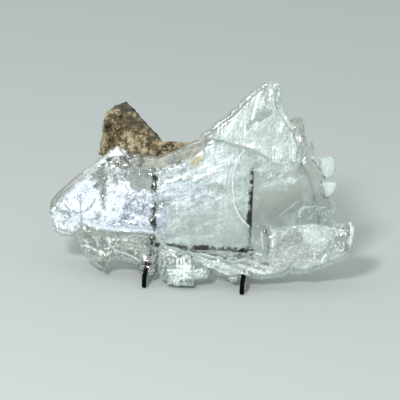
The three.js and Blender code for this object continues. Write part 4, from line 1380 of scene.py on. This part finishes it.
def stage_floor(settings):
    """A square floor at height 0."""
    corner = FLOOR_REACH * np.array([(-1, -1, 0), (1, -1, 0), (1, 1, 0), (-1, 1, 0)])
    mesh = bpy.data.meshes.new("floor")
    mesh.from_pydata(corner.tolist(), [], [(0, 1, 2, 3)])
    mesh.materials.append(pale_board(settings.floor))
    floor = add_object("floor", mesh)
    floor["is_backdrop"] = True


# ---- The add-on ----


def hex_colour(name, what, default):
    """A property for an sRGB hex colour."""
    return StringProperty(name=name, description=f"Colour of {what}, sRGB hex", default=default)


class SlabSettings(bpy.types.PropertyGroup):
    grid_step: FloatProperty(
        name="Grid step", description="Spacing of the slab's surface points",
        default=1.0 * MM, min=0.5 * MM, max=5 * MM, unit="LENGTH")
    clear: hex_colour("Clear", "clear gypsum", "#E3E8DF")
    dusk: hex_colour("Dusk", "the beige-grey veils", "#A6A79B")
    smoke: hex_colour("Smoke", "the smoky strips and edges", "#8F8E84")
    white: hex_colour("Veil", "milky cleavage", "#EDFAF9")
    # Colour of the painted reflection: the bluish tint of the light off the left part, laid over the
    # white veil.
    cool: hex_colour("Cool veil", "the bluish left part", "#E3EDFD")
    stain: hex_colour("Stain", "the tan inclusions", "#DCCFA8")


class MatrixSettings(bpy.types.PropertyGroup):
    tan: hex_colour("Tan", "clean sand", "#ABA180")
    brown: hex_colour("Brown", "the bonded crust", "#5F5135")
    sand: hex_colour("Grains", "single pale grains", "#C8BFA2")
    grey: hex_colour("Grey", "the grimy patches", "#625D49")
    honey: hex_colour("Honey", "the warm pale crust", "#B39E70")
    # Colour of the dark spots, also laid as painted shade along the wedge's ridge.
    dark_spots_and_ridge_shade: hex_colour("Pits", "the dark brown pits", "#1E190E")
    dark: hex_colour("Dark", "the dark flank", "#474233")


class StandSettings(bpy.types.PropertyGroup):
    bend_radius: FloatProperty(
        name="Bend", description="Where a bend starts before its corner",
        default=6 * MM, min=0, unit="LENGTH")
    paint: hex_colour("Paint", "the black enamel", "#060607")
    worn: hex_colour("Thin paint", "the enamel where it is thin", "#101011")


class StageSettings(bpy.types.PropertyGroup):
    floor: hex_colour("Floor", "the floor", "#B6BEBC")
    sky: hex_colour("Overhead", "the light from above", "#F4F8FA")
    horizon: hex_colour("Horizon", "the light near the horizon", "#B9C2C2")
    sky_strength: FloatProperty(
        name="Air", description="Brightness of the surroundings", default=0.935, min=0)
    front_share: FloatProperty(
        name="Viewer's side", description="Brightness of the air on the viewer's side, as a share",
        default=0.5, min=0, max=1, subtype="FACTOR")
    key_colour: hex_colour("Key tint", "the key light", "#FFFAF6")
    key_power: FloatProperty(
        name="Key", description="Power of the key light in watts", default=50.0, min=0)


class SELENITE_OT_slab(bpy.types.Operator):
    """Builds the cleaved selenite slab."""
    bl_idname = "selenite.slab"
    bl_label = "Selenite Slab"

    def execute(self, context):
        slab_piece(context.scene.selenite_slab)
        return {"FINISHED"}


class SELENITE_OT_matrix(bpy.types.Operator):
    """Builds the sandy matrix: the wedge and its crust."""
    bl_idname = "selenite.matrix"
    bl_label = "Sandy Matrix"

    def execute(self, context):
        settings = context.scene.selenite_matrix
        matrix_part("matrix_wedge", WEDGE, WEDGE_GRID, WEDGE_ROUGHNESS, settings)
        matrix_part("matrix_crust", CRUST, CRUST_GRID, CRUST_ROUGHNESS, settings)
        return {"FINISHED"}


class SELENITE_OT_stand(bpy.types.Operator):
    """Builds the wires of the stand."""
    bl_idname = "selenite.stand"
    bl_label = "Wire Stand"

    def execute(self, context):
        stand_pieces(context.scene.selenite_stand)
        return {"FINISHED"}


class SELENITE_OT_stage(bpy.types.Operator):
    """Lays the floor and sets the lights, the surroundings and the camera."""
    bl_idname = "selenite.stage"
    bl_label = "Stage"

    def execute(self, context):
        settings = context.scene.selenite_stage
        context.scene.view_settings.view_transform = "Standard"
        surroundings(settings)
        stage_floor(settings)
        softbox("key", *KEY, settings.key_power, settings.key_colour)
        softbox("overhead", *OVERHEAD, settings.key_power * OVERHEAD_SHARE)
        stage_camera()
        return {"FINISHED"}


class SELENITE_PT_panel(bpy.types.Panel):
    """Lists the pieces and the stage."""
    bl_label = "Selenite Slab"
    bl_idname = "SELENITE_PT_panel"
    bl_space_type = "VIEW_3D"
    bl_region_type = "UI"
    bl_category = "Selenite"

    def draw(self, context):
        for kind in ("slab", "matrix", "stand", "stage"):
            box = self.layout.box()
            settings = getattr(context.scene, f"selenite_{kind}")
            for name in settings.__annotations__:
                box.prop(settings, name)
            box.operator(f"selenite.{kind}")


GROUPS = {
    "selenite_slab": SlabSettings,
    "selenite_matrix": MatrixSettings,
    "selenite_stand": StandSettings,
    "selenite_stage": StageSettings,
}
CLASSES = (*GROUPS.values(), SELENITE_OT_slab, SELENITE_OT_matrix, SELENITE_OT_stand,
           SELENITE_OT_stage, SELENITE_PT_panel)


def register():
    for cls in CLASSES:
        bpy.utils.register_class(cls)
    for name, group in GROUPS.items():
        setattr(bpy.types.Scene, name, PointerProperty(type=group))


def unregister():
    for name in GROUPS:
        delattr(bpy.types.Scene, name)
    for cls in reversed(CLASSES):
        bpy.utils.unregister_class(cls)


def main():
    register()
    bpy.ops.selenite.slab()
    bpy.ops.selenite.matrix()
    bpy.ops.selenite.stand()
    bpy.ops.selenite.stage()
    boxes = {"cad": CAD_BOX, "scene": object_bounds()}
    {name: [list(corner) for corner in box] for name, box in boxes.items()}


if __name__ == "__main__":
    main()
